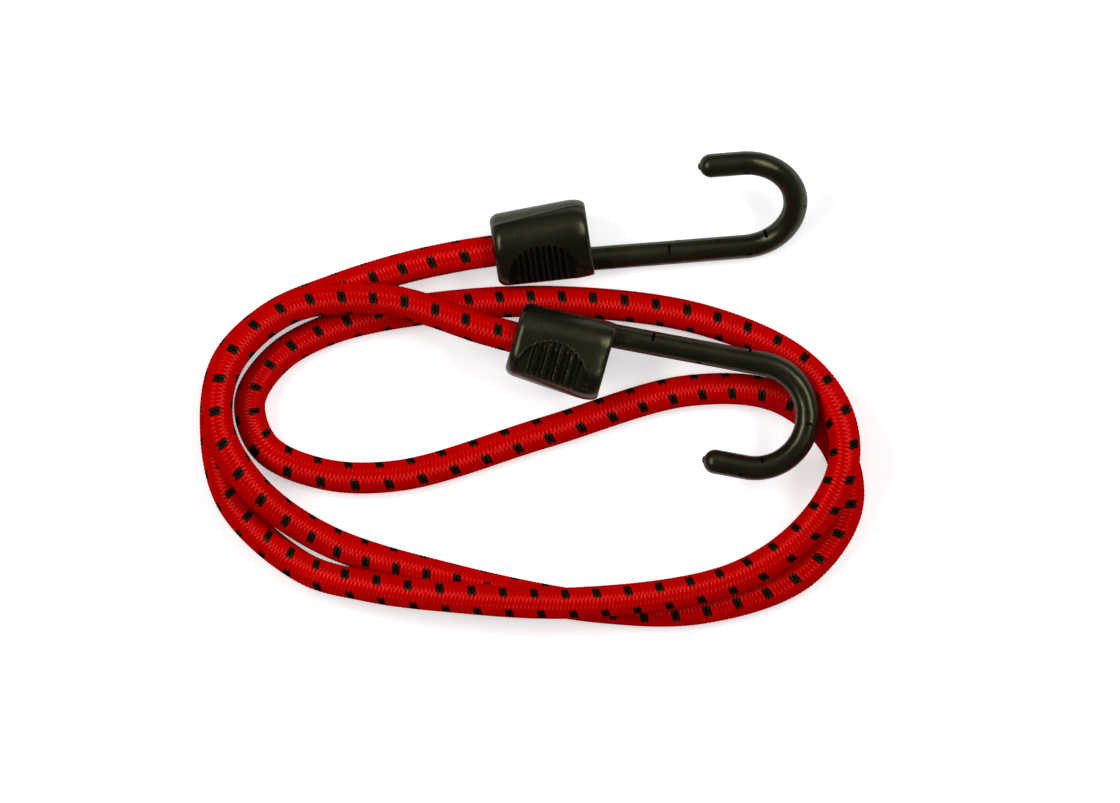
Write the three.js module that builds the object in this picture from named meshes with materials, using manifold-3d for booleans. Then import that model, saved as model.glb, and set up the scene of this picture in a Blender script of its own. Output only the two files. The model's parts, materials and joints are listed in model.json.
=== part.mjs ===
// A bungee cord: a rubber cored, braided cord laid in loose loops, with a moulded hook on each end.
//
// Millimetres, +Z up. The origin is on the surface that the cord lies on, under the middle of the box
// round the two hooks. Each end of the cord runs into the barrel of a hook, where a ring of wire that
// is closed round the cord holds it. The barrel turns freely round the cord's end.
import * as THREE from 'three';
import { mergeVertices } from 'three/addons/utils/BufferGeometryUtils.js';
import Module from 'manifold-3d';

const wasm = await Module();
wasm.setup();

// The cord: a braided sheath over a bundle of square cut rubber threads
const cord = {
  diameter: 8,
  sheathWall: 0.6,
  sheathSides: 12,
  boreSides: 8,
  threadSide: 1.25,
  threadRows: 3,
  stepsPerSpan: 2,
  gapChecksPerStep: 4,
  clearance: 0.3,
};

// The cord's middle line between its hooks, as it lies in loose loops
const laidPoints = [
  [-63.0, 12.1, 6.8],
  [-80.6, 6.6, 4.1],
  [-96.5, -0.3, 3.8],
  [-107.7, -11.4, 3.8],
  [-110.7, -25.7, 3.8],
  [-106.6, -46.6, 3.8],
  [-88.6, -63.4, 4.5],
  [-72.7, -68.0, 9.0],
  [-54.1, -70.5, 11.9],
  [-18.7, -72.2, 12.7],
  [20.3, -66.0, 11.4],
  [38.9, -53.3, 11.2],
  [47.5, -38.0, 12.7],
  [46.1, -24.3, 11.2],
  [35.6, -11.3, 6.2],
  [11.6, -0.8, 3.8],
  [-23.8, 3.6, 3.8],
  [-56.6, 1.9, 3.8],
  [-81.9, -3.4, 3.8],
  [-95.3, -11.0, 3.8],
  [-102.0, -21.7, 3.8],
  [-98.2, -33.1, 3.8],
  [-84.2, -39.7, 3.8],
  [-64.1, -40.2, 3.8],
  [-27.7, -29.4, 3.8],
  [9.0, -18.8, 3.8],
  [31.5, -20.6, 3.8],
  [45.8, -32.7, 3.8],
  [48.7, -48.2, 3.8],
  [37.5, -64.7, 3.8],
  [13.4, -73.5, 3.8],
  [-13.7, -73.5, 3.8],
  [-51.3, -66.3, 3.8],
  [-83.3, -56.2, 4.6],
  [-101.3, -42.9, 11.0],
  [-109.8, -27.5, 12.6],
  [-107.3, -12.1, 12.6],
  [-91.9, 1.8, 12.6],
  [-67.9, 4.0, 12.6],
];

// The barrel: X runs along its axis from the cord's mouth, Y towards the J's tip, Z out of a scooped face
const barrel = {
  length: 24.3,
  thickness: 15.5,
  mouthWidth: 18,
  shankEndWidth: 20.4,
  cornerRadius: 6.8,
  edgeRadius: 1.8,
  cornerSteps: 5,
  edgeSteps: 3,
};

// The hollow of the barrel: a narrow mouth, a seat for the crimp ring and a way out beside the shank
const hollow = {
  mouthRadius: 4.45,
  mouthFlare: 0.8,
  mouthLength: 3.5,
  seatRadius: 5.8,
  seatEnd: 16,
  exitRadius: 5.6,
  exitStart: 14,
  exitOffset: 1.2,
  sides: 24,
};

// A ribbed thumb scoop on each broad face: one runs out over the shank's side and lies shallow over the
// hollow, the other, on the far face, runs out over the tip's side
const scoops = {
  shankSide: { radius: 9, along: 11.6, offset: 3.9, rimDepth: 0.75, tiltDeg: 6.5, turnDeg: 0 },
  tipSide: { radius: 9.5, along: 11.3, offset: 7.5, rimDepth: 0.3, tiltDeg: 14, turnDeg: 180 },
};
const scoopSides = 32;

// The grip ribs that stand on a scoop's floor
const rib = {
  count: 9,
  pitch: 1.5,
  width: 0.95,
  crestShare: 0.5,
  height: 0.65,
};

// The shank and the J, one round rod on a wire core
const rod = {
  diameter: 6,
  sides: 12,
  startOffset: 5,
  divergeDeg: 5,
  shankLength: 62.9,
  bendRadius: 13.2,
  bendSteps: 15,
  tipLength: 7.8,
  overlap: 7,
  nubRadius: 0.9,
  nubLength: 0.5,
  nubEndShare: 0.4,
  domeSteps: 3,
};

// The steel wire in the rod and the pin slots that held it in the mould
const wire = {
  diameter: 2.6,
  sides: 8,
  clearance: 0.3,
  startInBarrel: 17,
  endCover: 3,
  slotWidth: 0.5,
  slotLength: 2.2,
};
const pinSlots = [
  { lineShare: 0.11, turnDeg: 234 },
  { lineShare: 0.22, turnDeg: 36 },
  { lineShare: 0.39, turnDeg: 200 },
  { lineShare: 0.52, turnDeg: 20 },
  { lineShare: 0.67, turnDeg: 264 },
  { lineShare: 0.86, turnDeg: 318 },
];

// The crimp ring: a little over one turn of wire round the cord, behind the mouth
const crimp = {
  wireDiameter: 1.2,
  sides: 6,
  turns: 1.15,
  stepsPerTurn: 20,
  lapGap: 0.4,
};
const cordTailLength = 12;

// Where each barrel's mouth lies, the way its axis points and how far its J is rolled up from the floor
const hookPlaces = {
  a: { mouth: [-40.43, 16.4], headingDeg: 8.5, rollDeg: 38 },
  b: { mouth: [-35.38, -5.43], headingDeg: -15.6, rollDeg: 180, height: 13.9 },
};

const overrun = 1;

const colours = {
  sheath: { color: 0xc81414, roughness: 0.8, metalness: 0 },
  rubber: { color: 0xd8c49a, roughness: 0.7, metalness: 0 },
  plastic: { color: 0x22221c, roughness: 0.45, metalness: 0 },
  steel: { color: 0xa8aaac, roughness: 0.35, metalness: 1 },
};

// Gives the matrix that turns a body round X and then moves it
function placedAt(x, y, z, turnDeg = 0) {
  const turn = new THREE.Matrix4().makeRotationX(THREE.MathUtils.degToRad(turnDeg));
  return turn.setPosition(x, y, z);
}

// Turns a closed three.js geometry into a solid that can be joined and cut
function toSolid(geometry) {
  const bare = geometry.clone();
  bare.deleteAttribute('normal');
  bare.deleteAttribute('uv');
  const merged = mergeVertices(bare);
  const mesh = new wasm.Mesh({
    numProp: 3,
    vertProperties: new Float32Array(merged.attributes.position.array),
    triVerts: new Uint32Array(merged.index.array),
  });
  return new wasm.Manifold(mesh);
}

// Turns a joined and cut solid back into a geometry
function toGeometry(solid) {
  const mesh = solid.getMesh();
  const geometry = new THREE.BufferGeometry();
  geometry.setAttribute('position', new THREE.BufferAttribute(mesh.vertProperties, 3));
  geometry.setIndex(new THREE.BufferAttribute(mesh.triVerts, 1));
  geometry.computeVertexNormals();
  return geometry;
}

// Skins a closed body over rings of points that run counterclockwise round the way the rings advance
function skin(rings) {
  const sides = rings[0].length;
  const index = [];
  for (let ring = 1; ring < rings.length; ring += 1) {
    for (let side = 0; side < sides; side += 1) {
      const near = (ring - 1) * sides + side;
      const nearNext = (ring - 1) * sides + ((side + 1) % sides);
      index.push(near, nearNext, nearNext + sides);
      index.push(near, nearNext + sides, near + sides);
    }
  }
  const last = (rings.length - 1) * sides;
  for (let side = 1; side < sides - 1; side += 1) {
    index.push(0, side + 1, side);
    index.push(last, last + side, last + side + 1);
  }
  const geometry = new THREE.BufferGeometry();
  const positions = rings.flat().flatMap((point) => point.toArray());
  geometry.setAttribute('position', new THREE.Float32BufferAttribute(positions, 3));
  geometry.setIndex(index);
  geometry.computeVertexNormals();
  return geometry;
}

// A regular polygon whose lowest side is level
function levelPolygon(sides, radius) {
  const points = [];
  for (let side = 0; side < sides; side += 1) {
    const angle = ((side + 0.5) / sides) * 2 * Math.PI;
    points.push(new THREE.Vector2(radius * Math.cos(angle), radius * Math.sin(angle)));
  }
  return points;
}

// One ring of the barrel: an oblong with round corners, drawn in from the full section by an inset
function barrelRing(along, inset) {
  const widthShare = along / barrel.length;
  const width = barrel.mouthWidth + (barrel.shankEndWidth - barrel.mouthWidth) * widthShare;
  const flatY = width / 2 - barrel.cornerRadius;
  const flatZ = barrel.thickness / 2 - barrel.cornerRadius;
  const radius = barrel.cornerRadius - inset;
  const points = [];
  for (let corner = 0; corner < 4; corner += 1) {
    const signY = corner === 0 || corner === 3 ? 1 : -1;
    const signZ = corner < 2 ? 1 : -1;
    for (let step = 0; step <= barrel.cornerSteps; step += 1) {
      const angle = ((corner + step / barrel.cornerSteps) * Math.PI) / 2;
      const y = signY * flatY + radius * Math.cos(angle);
      const z = signZ * flatZ + radius * Math.sin(angle);
      points.push(new THREE.Vector3(along, y, z));
    }
  }
  return points;
}

// The barrel's outer body, with a rounded edge at each end
function barrelBody() {
  const mouthRings = [];
  const shankRings = [];
  for (let step = 0; step <= barrel.edgeSteps; step += 1) {
    const angle = ((step / barrel.edgeSteps) * Math.PI) / 2;
    const inset = barrel.edgeRadius * (1 - Math.sin(angle));
    const depth = barrel.edgeRadius * (1 - Math.cos(angle));
    mouthRings.push(barrelRing(depth, inset));
    shankRings.unshift(barrelRing(barrel.length - depth, inset));
  }
  return toSolid(skin([...mouthRings, ...shankRings]));
}

// A round bar along X between two places
function barAlongX(start, end, startRadius, endRadius, offset = 0) {
  const geometry = new THREE.CylinderGeometry(endRadius, startRadius, end - start, hollow.sides);
  geometry.rotateZ(-Math.PI / 2);
  geometry.translate((start + end) / 2, offset, 0);
  return toSolid(geometry);
}

// The space inside the barrel, open at both ends
function barrelHollow() {
  const flareEnd = hollow.mouthFlare + overrun;
  const flareRadius = hollow.mouthRadius + flareEnd;
  const flare = barAlongX(-overrun, hollow.mouthFlare, flareRadius, hollow.mouthRadius);
  const mouth = barAlongX(-overrun, hollow.mouthLength + overrun, hollow.mouthRadius, hollow.mouthRadius);
  const seat = barAlongX(hollow.mouthLength, hollow.seatEnd, hollow.seatRadius, hollow.seatRadius);
  const exitEnd = barrel.length + overrun;
  const exit = barAlongX(hollow.exitStart, exitEnd, hollow.exitRadius, hollow.exitRadius, hollow.exitOffset);
  return flare.add(mouth).add(seat).add(exit);
}

// The place of a scoop's sloping floor, in the barrel's frame
function scoopFloor(place) {
  const tilt = THREE.MathUtils.degToRad(place.tiltDeg);
  const depth = place.rimDepth + place.radius * Math.sin(tilt);
  return placedAt(place.along, -place.offset, barrel.thickness / 2 - depth, place.tiltDeg);
}

// The grip ribs: bars square to the barrel's axis that stand on the scoop's floor
function scoopRibs(place) {
  const crest = (rib.width / 2) * rib.crestShare;
  const profile = new THREE.Shape([
    new THREE.Vector2(-rib.width / 2, -overrun),
    new THREE.Vector2(rib.width / 2, -overrun),
    new THREE.Vector2(crest, rib.height),
    new THREE.Vector2(-crest, rib.height),
  ]);
  const length = (place.radius + overrun) * 2;
  const ribs = [];
  for (let number = 0; number < rib.count; number += 1) {
    const across = (number - (rib.count - 1) / 2) * rib.pitch;
    const geometry = new THREE.ExtrudeGeometry(profile, { depth: length, bevelEnabled: false });
    geometry.rotateX(Math.PI / 2);
    geometry.translate(across, length / 2, 0);
    geometry.applyMatrix4(scoopFloor(place));
    ribs.push(toSolid(geometry));
  }
  return wasm.Manifold.union(ribs);
}

// What a scoop takes out of the barrel: a round hollow with a sloping floor, less its ribs
function scoopCutter(place) {
  const height = barrel.thickness;
  const geometry = new THREE.CylinderGeometry(place.radius, place.radius, height, scoopSides);
  geometry.rotateX(Math.PI / 2);
  geometry.translate(0, 0, height / 2);
  geometry.applyMatrix4(scoopFloor(place));
  const cutter = toSolid(geometry).subtract(scoopRibs(place));
  return cutter.rotate([place.turnDeg, 0, 0]);
}

// The way along the shank, round the J and to its tip, in the J's plane
function rodStations(startAlong, endShort) {
  const diverge = THREE.MathUtils.degToRad(rod.divergeDeg);
  const shankWay = new THREE.Vector3(Math.cos(diverge), -Math.sin(diverge), 0);
  const tipSide = new THREE.Vector3(Math.sin(diverge), Math.cos(diverge), 0);
  const origin = new THREE.Vector3(0, -rod.startOffset, 0);
  const bendStart = origin.clone().addScaledVector(shankWay, rod.shankLength);
  const centre = bendStart.clone().addScaledVector(tipSide, rod.bendRadius);
  const stations = [];
  const start = origin.clone().addScaledVector(shankWay, startAlong / Math.cos(diverge));
  stations.push({ point: start, way: shankWay.clone() });
  for (let step = 0; step <= rod.bendSteps; step += 1) {
    const angle = (step / rod.bendSteps) * Math.PI;
    const point = centre.clone();
    point.addScaledVector(shankWay, rod.bendRadius * Math.sin(angle));
    point.addScaledVector(tipSide, -rod.bendRadius * Math.cos(angle));
    const way = shankWay.clone().multiplyScalar(Math.cos(angle));
    way.addScaledVector(tipSide, Math.sin(angle));
    stations.push({ point, way });
  }
  const tipStart = stations[stations.length - 1];
  const tip = tipStart.point.clone().addScaledVector(tipStart.way, rod.tipLength - endShort);
  stations.push({ point: tip, way: tipStart.way.clone() });
  return stations;
}

// A ring of points round a station of the rod
function rodRing(station, sides, radius, ahead = 0) {
  const across = new THREE.Vector3(0, 0, 1).cross(station.way);
  const points = [];
  for (const spot of levelPolygon(sides, radius)) {
    const point = station.point.clone().addScaledVector(station.way, ahead);
    point.addScaledVector(across, spot.x);
    point.z += spot.y;
    points.push(point);
  }
  return points;
}

// The plastic rod: shank, J and a domed tip that ends in the small nub where the mould was filled
function rodBody() {
  const radius = rod.diameter / 2;
  const stations = rodStations(barrel.length - rod.overlap, 0);
  const rings = stations.map((station) => rodRing(station, rod.sides, radius));
  const tip = stations[stations.length - 1];
  const nubAngle = Math.acos(rod.nubRadius / radius);
  for (let step = 1; step <= rod.domeSteps; step += 1) {
    const angle = (step / rod.domeSteps) * nubAngle;
    rings.push(rodRing(tip, rod.sides, radius * Math.cos(angle), radius * Math.sin(angle)));
  }
  const nubEnd = radius * Math.sin(nubAngle) + rod.nubLength;
  rings.push(rodRing(tip, rod.sides, rod.nubRadius * rod.nubEndShare, nubEnd));
  return toSolid(skin(rings));
}

// The wire in the rod, or the channel that it lies in, which is larger all round by the clearance
function wireBody(clearance) {
  const stations = rodStations(wire.startInBarrel - clearance, wire.endCover - clearance);
  const radius = wire.diameter / 2 + clearance;
  return skin(stations.map((station) => rodRing(station, wire.sides, radius)));
}

// One pin slot: a thin cut from the rod's surface down into the wire's channel
function pinSlotCutter(lineShare, turnDeg) {
  const stations = rodStations(barrel.length, 0);
  const line = new THREE.CurvePath();
  for (let leg = 1; leg < stations.length; leg += 1) {
    line.add(new THREE.LineCurve3(stations[leg - 1].point, stations[leg].point));
  }
  const point = line.getPointAt(lineShare);
  const way = line.getTangentAt(lineShare);
  const turn = THREE.MathUtils.degToRad(turnDeg);
  const across = new THREE.Vector3(0, 0, 1).cross(way);
  const out = across.clone().multiplyScalar(Math.cos(turn));
  out.z = Math.sin(turn);
  const side = way.clone().cross(out);
  const geometry = new THREE.BoxGeometry(wire.slotWidth, wire.slotLength, rod.diameter / 2 + overrun);
  geometry.translate(0, 0, (rod.diameter / 2 + overrun) / 2);
  geometry.applyMatrix4(new THREE.Matrix4().makeBasis(way, side.negate(), out).setPosition(point));
  return toSolid(geometry);
}

// The hook moulding: barrel, scoops with ribs, shank and J, hollow for the cord and for the wire
function hookMoulding() {
  let moulding = barrelBody();
  for (const place of Object.values(scoops)) moulding = moulding.subtract(scoopCutter(place));
  moulding = moulding.add(rodBody());
  moulding = moulding.subtract(barrelHollow());
  moulding = moulding.subtract(toSolid(wireBody(wire.clearance)));
  for (const slot of pinSlots) {
    moulding = moulding.subtract(pinSlotCutter(slot.lineShare, slot.turnDeg));
  }
  return toGeometry(moulding);
}

// The line of the crimp ring's wire: a helix whose overlapping ends lie side by side
class CrimpLine extends THREE.Curve {
  getPoint(share) {
    const radius = cord.diameter / 2 + cord.clearance + crimp.wireDiameter / 2;
    const start = hollow.mouthLength + cord.clearance + crimp.wireDiameter / 2;
    const angle = share * crimp.turns * 2 * Math.PI;
    const along = start + share * crimp.turns * (crimp.wireDiameter + crimp.lapGap);
    return new THREE.Vector3(along, radius * Math.cos(angle), radius * Math.sin(angle));
  }
}

// The crimp ring round the cord's end, on the barrel's axis
function crimpRing() {
  const section = new THREE.Shape(levelPolygon(crimp.sides, crimp.wireDiameter / 2));
  const steps = Math.round(crimp.stepsPerTurn * crimp.turns);
  return new THREE.ExtrudeGeometry(section, { steps, extrudePath: new CrimpLine(), bevelEnabled: false });
}

// The matrix that sets a hook's own frame at its mouth, its heading and its roll
function hookMatrix(place, height) {
  const heading = THREE.MathUtils.degToRad(place.headingDeg);
  const roll = THREE.MathUtils.degToRad(place.rollDeg);
  const matrix = new THREE.Matrix4().makeRotationZ(heading);
  matrix.multiply(new THREE.Matrix4().makeRotationX(roll));
  return matrix.setPosition(place.mouth[0], place.mouth[1], height);
}

// The height at which a rolled hook's axis runs when the hook lies on the floor
function restHeight(geometry, place) {
  const rolled = geometry.clone().applyMatrix4(hookMatrix(place, 0));
  rolled.computeBoundingBox();
  return -rolled.boundingBox.min.z;
}

// The cord's middle line. It rests on the floor where it isn't lifted by what it crosses, and its
// sections stay level, so that the same side lies down all along.
class LaidLine extends THREE.CatmullRomCurve3 {
  getSpacedPoints(steps) {
    const lowest = (cord.diameter / 2) * Math.cos(Math.PI / cord.sheathSides);
    const points = this.getPoints(steps);
    points.forEach((point) => point.setZ(Math.max(point.z, lowest)));
    return points;
  }

  computeFrenetFrames(steps) {
    const points = this.getSpacedPoints(steps);
    const up = new THREE.Vector3(0, 0, 1);
    const frames = { tangents: [], normals: [], binormals: [] };
    points.forEach((point, spot) => {
      const before = points[Math.max(spot - 1, 0)];
      const after = points[Math.min(spot + 1, steps)];
      const way = new THREE.Vector3();
      if (spot > 0) way.add(point.clone().sub(before).normalize());
      if (spot < steps) way.add(after.clone().sub(point).normalize());
      way.normalize();
      const side = up.clone().cross(way).normalize();
      frames.tangents.push(way);
      frames.normals.push(side);
      frames.binormals.push(way.clone().cross(side));
    });
    return frames;
  }
}

// The end of the cord's line at a hook: its tail in the barrel, the mouth and a straight lead outside
function cordEnd(place, height) {
  const matrix = hookMatrix(place, height);
  const onAxis = (along) => new THREE.Vector3(along, 0, 0).applyMatrix4(matrix);
  return [onAxis(cordTailLength), onAxis(0), onAxis(-cord.diameter)];
}

// The whole line of the cord, from its tail in hook A to its tail in hook B
function cordLine(heightA, heightB) {
  const laid = laidPoints.map((point) => new THREE.Vector3(...point));
  const points = [...cordEnd(hookPlaces.a, heightA), ...laid, ...cordEnd(hookPlaces.b, heightB).reverse()];
  return new LaidLine(points, false, 'centripetal');
}

// A body with the given section all along the cord's line
function alongCord(section, line) {
  const steps = (line.points.length - 1) * cord.stepsPerSpan;
  return new THREE.ExtrudeGeometry(section, { steps, extrudePath: line, bevelEnabled: false });
}

// The braided sheath: a hose with a level side to lie on
function cordSheath(line) {
  const section = new THREE.Shape(levelPolygon(cord.sheathSides, cord.diameter / 2));
  const bore = levelPolygon(cord.boreSides, cord.diameter / 2 - cord.sheathWall);
  const turned = bore.map((point) => point.rotateAround(new THREE.Vector2(), Math.PI / cord.boreSides));
  section.holes.push(new THREE.Path(turned));
  return alongCord(section, line);
}

// The rubber threads: a square bundle that fills the sheath
function rubberThreads(line) {
  const pitch = cord.threadSide + cord.clearance;
  const half = cord.threadSide / 2;
  const middle = (cord.threadRows - 1) / 2;
  const threads = [];
  for (let row = 0; row < cord.threadRows; row += 1) {
    for (let column = 0; column < cord.threadRows; column += 1) {
      const x = (column - middle) * pitch;
      const y = (row - middle) * pitch;
      const corners = [[-half, -half], [half, -half], [half, half], [-half, half]];
      const section = new THREE.Shape(corners.map((corner) => new THREE.Vector2(x + corner[0], y + corner[1])));
      threads.push(alongCord(section, line));
    }
  }
  return threads;
}

// The least gap between two stretches of the cord that pass each other
function leastGap(line) {
  const steps = (line.points.length - 1) * cord.stepsPerSpan * cord.gapChecksPerStep;
  const points = line.getSpacedPoints(steps);
  const far = cord.diameter * Math.PI;
  const reach = [0];
  for (let spot = 1; spot < points.length; spot += 1) {
    reach.push(reach[spot - 1] + points[spot].distanceTo(points[spot - 1]));
  }
  let least = Infinity;
  points.forEach((point, spot) => {
    for (let other = 0; other < spot; other += 1) {
      if (reach[spot] - reach[other] > far) least = Math.min(least, point.distanceTo(points[other]));
    }
  });
  return { gap: least - cord.diameter, length: reach[reach.length - 1] };
}

// Makes a named mesh of one material
function piece(name, geometry, finish) {
  const mesh = new THREE.Mesh(geometry, new THREE.MeshStandardMaterial(finish));
  mesh.name = name;
  return mesh;
}

// One hook with all that turns or sits on its axis, in its own frame
function hook(letter, moulding, place, height) {
  const assembly = new THREE.Group();
  assembly.add(piece(`hook_${letter}_moulding`, moulding.clone(), colours.plastic));
  assembly.add(piece(`hook_${letter}_wire`, wireBody(0), colours.steel));
  assembly.add(piece(`crimp_ring_${letter}`, crimpRing(), colours.steel));
  assembly.applyMatrix4(hookMatrix(place, height));
  return assembly;
}

// The whole bungee cord as it lies
function bungeeCord() {
  const moulding = hookMoulding();
  const heightA = restHeight(moulding, hookPlaces.a);
  const heightB = hookPlaces.b.height;
  const line = cordLine(heightA, heightB);
  const laid = leastGap(line);
  console.log(`cord ${laid.length.toFixed(1)} mm long, least gap to itself ${laid.gap.toFixed(2)} mm`);
  console.log(`axis of hook A ${heightA.toFixed(3)} mm above the floor`);
  const group = new THREE.Group();
  group.add(piece('cord_sheath', cordSheath(line), colours.sheath));
  rubberThreads(line).forEach((thread, number) => {
    group.add(piece(`rubber_thread_${number + 1}`, thread, colours.rubber));
  });
  group.add(hook('a', moulding, hookPlaces.a, heightA));
  group.add(hook('b', moulding, hookPlaces.b, heightB));
  return group;
}

const group = bungeeCord();

export default group;
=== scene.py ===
"""Dresses the bungee cord: braided sheath, rubber core, crimp rings, moulded hooks, floor and light.

All lengths are in metres, in the frame of the construction. A hook's own frame has X along the axis of
its barrel from the cord's mouth, Y towards the tip of the J and Z out of one broad face.
"""

import json
import logging
import math
from dataclasses import dataclass, field
from enum import Enum

import bpy
import numpy as np
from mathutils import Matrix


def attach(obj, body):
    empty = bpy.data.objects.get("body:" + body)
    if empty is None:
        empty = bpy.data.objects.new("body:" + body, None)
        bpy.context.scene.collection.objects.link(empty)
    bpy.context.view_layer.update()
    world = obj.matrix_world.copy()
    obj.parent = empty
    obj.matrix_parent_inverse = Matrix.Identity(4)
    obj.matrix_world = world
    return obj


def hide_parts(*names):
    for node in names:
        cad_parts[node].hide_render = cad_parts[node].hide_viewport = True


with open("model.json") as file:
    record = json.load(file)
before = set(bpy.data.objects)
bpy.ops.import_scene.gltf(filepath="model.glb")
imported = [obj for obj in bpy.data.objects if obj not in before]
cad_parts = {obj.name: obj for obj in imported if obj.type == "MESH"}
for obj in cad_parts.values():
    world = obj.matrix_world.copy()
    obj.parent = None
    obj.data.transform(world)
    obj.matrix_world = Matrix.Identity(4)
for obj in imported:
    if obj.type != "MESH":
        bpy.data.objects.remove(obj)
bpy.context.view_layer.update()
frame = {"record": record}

LOG = logging.getLogger("bungee_cord")
MM = 0.001
TURN = 2 * math.pi
UP = np.array([0.0, 0.0, 1.0])
# Stands in for a divisor that is nought or less
TINY = 1e-9

# The cord's middle line between its hooks, in millimetres: the points of the construction
LAID_POINTS = (
    (-63.0, 12.1, 6.8), (-80.6, 6.6, 4.1), (-96.5, -0.3, 3.8), (-107.7, -11.4, 3.8),
    (-110.7, -25.7, 3.8), (-106.6, -46.6, 3.8), (-88.6, -63.4, 4.5), (-72.7, -68.0, 9.0),
    (-54.1, -70.5, 11.9), (-18.7, -72.2, 12.7), (20.3, -66.0, 11.4), (38.9, -53.3, 11.2),
    (47.5, -38.0, 12.7), (46.1, -24.3, 11.2), (35.6, -11.3, 6.2), (11.6, -0.8, 3.8),
    (-23.8, 3.6, 3.8), (-56.6, 1.9, 3.8), (-81.9, -3.4, 3.8), (-95.3, -11.0, 3.8),
    (-102.0, -21.7, 3.8), (-98.2, -33.1, 3.8), (-84.2, -39.7, 3.8), (-64.1, -40.2, 3.8),
    (-27.7, -29.4, 3.8), (9.0, -18.8, 3.8), (31.5, -20.6, 3.8), (45.8, -32.7, 3.8),
    (48.7, -48.2, 3.8), (37.5, -64.7, 3.8), (13.4, -73.5, 3.8), (-13.7, -73.5, 3.8),
    (-51.3, -66.3, 3.8), (-83.3, -56.2, 4.6), (-101.3, -42.9, 11.0), (-109.8, -27.5, 12.6),
    (-107.3, -12.1, 12.6), (-91.9, 1.8, 12.6), (-67.9, 4.0, 12.6),
)

# Where the braid lies: millimetres along the line, count of dashes passed, and the angle of one row of
# dashes in degrees, from the left of the line over its top
BRAID_STATIONS = (
    (0.0, -2.4, 82.0), (19.2, 0.0, 81.0), (27.3, 1.0, 86.0), (35.1, 2.0, 88.0), (121.5, 13.0, 80.0),
    (129.1, 14.0, 72.0), (143.9, 16.0, 66.0), (152.1, 17.0, 52.0), (160.7, 18.0, 57.0),
    (184.8, 21.0, 59.0), (208.5, 24.0, 48.0), (232.3, 27.0, 56.0), (256.3, 30.0, 49.0),
    (280.2, 33.0, 50.0), (303.7, 36.0, 39.0), (313.7, 37.25, 35.0), (346.4, 41.25, 30.0),
    (362.3, 43.25, 24.0), (386.0, 46.25, 22.0), (417.2, 50.25, 20.0), (448.2, 54.25, 12.0),
    (463.4, 56.25, 6.0), (470.6, 57.25, 3.0), (477.3, 58.25, -5.0), (483.8, 59.25, -18.0),
    (490.7, 60.25, -40.0), (499.5, 61.25, -56.0), (518.4, 63.5, -60.0), (543.4, 66.5, -58.0),
    (560.2, 68.5, -60.0), (585.3, 71.5, -63.0), (601.4, 73.5, -65.0), (616.6, 75.5, -71.0),
    (663.0, 81.5, -100.0), (678.8, 83.5, -91.0), (702.4, 86.5, -98.0), (718.2, 88.5, -108.0),
    (726.0, 89.5, -116.0), (774.0, 95.5, -86.0), (781.8, 96.5, -96.0), (797.3, 98.5, -114.0),
    (805.1, 99.5, -116.0), (813.1, 100.5, -106.0), (837.7, 103.5, -100.0), (845.9, 104.5, -94.0),
    (862.2, 106.5, -100.0), (878.0, 108.5, -111.0), (893.0, 110.5, -101.0), (909.0, 112.5, -92.0),
    (933.0, 115.5, -104.0), (941.5, 116.5, -101.0), (962.0, 119.1, -101.0),
)


class Body(Enum):
    """The three bodies of the construction that pieces ride on."""

    CORD = "cord"
    HOOK_A = "hook_a"
    HOOK_B = "hook_b"


class Yarn(Enum):
    """The two yarns of the braid, by their place among the sheath's materials."""

    GROUND = 0
    TRACER = 1


def linear(hex_colour: str) -> tuple[float, float, float, float]:
    """Turns an sRGB hex colour into the linear colour that a shader takes.

    Args:
        hex_colour: six hex digits after a #.

    Returns:
        Linear red, green and blue, and an alpha of 1.
    """
    shares = [int(hex_colour[place:place + 2], 16) / 255 for place in (1, 3, 5)]
    values = [s / 12.92 if s <= 0.04045 else ((s + 0.055) / 1.055) ** 2.4 for s in shares]
    return (values[0], values[1], values[2], 1.0)


def smoothstep(low: float, high: float, value: np.ndarray) -> np.ndarray:
    """Rises smoothly from 0 at low to 1 at high: 3t^2 - 2t^3 of the clamped share t."""
    share = np.clip((value - low) / (high - low), 0.0, 1.0)
    return share * share * (3.0 - 2.0 * share)


def add_node(
    tree: bpy.types.NodeTree, kind: str, inputs: dict | None = None, stops: tuple = (), **settings,
) -> bpy.types.Node:
    """Adds one shader node with its settings, values and links.

    Args:
        tree: the node tree that takes the node.
        kind: the node's type name.
        inputs: input name or number to a value, or to the output socket that feeds it.
        stops: a colour ramp's two (place, colour) pairs, the lower first.
        settings: the node's own properties.

    Returns:
        The new node.
    """
    node = tree.nodes.new(kind)
    for name, value in settings.items():
        setattr(node, name, value)
    for name, value in (inputs or {}).items():
        if isinstance(value, bpy.types.NodeSocket):
            tree.links.new(value, node.inputs[name])
        else:
            node.inputs[name].default_value = value
    for number, (place, colour) in enumerate(stops):
        node.color_ramp.elements[number].position = place
        node.color_ramp.elements[number].color = colour
    return node


def new_material(name: str) -> tuple[bpy.types.Material, bpy.types.NodeTree, bpy.types.Node]:
    """Makes a node material with one principled shader.

    Args:
        name: the material's name.

    Returns:
        The material, its node tree and its shader.
    """
    material = bpy.data.materials.new(name)
    material.use_nodes = True
    tree = material.node_tree
    tree.nodes.clear()
    shader = add_node(tree, "ShaderNodeBsdfPrincipled")
    add_node(tree, "ShaderNodeOutputMaterial", {"Surface": shader.outputs["BSDF"]})
    return material, tree, shader


@dataclass(frozen=True)
class Fade:
    """A value that goes from at_low to at_high while what drives it goes from low to high."""

    low: float
    high: float
    at_low: float
    at_high: float

    def inputs(self, driver: bpy.types.NodeSocket) -> dict:
        """Names the inputs of the map range node that does this."""
        return {
            "Value": driver, "From Min": self.low, "From Max": self.high,
            "To Min": self.at_low, "To Max": self.at_high,
        }


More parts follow.
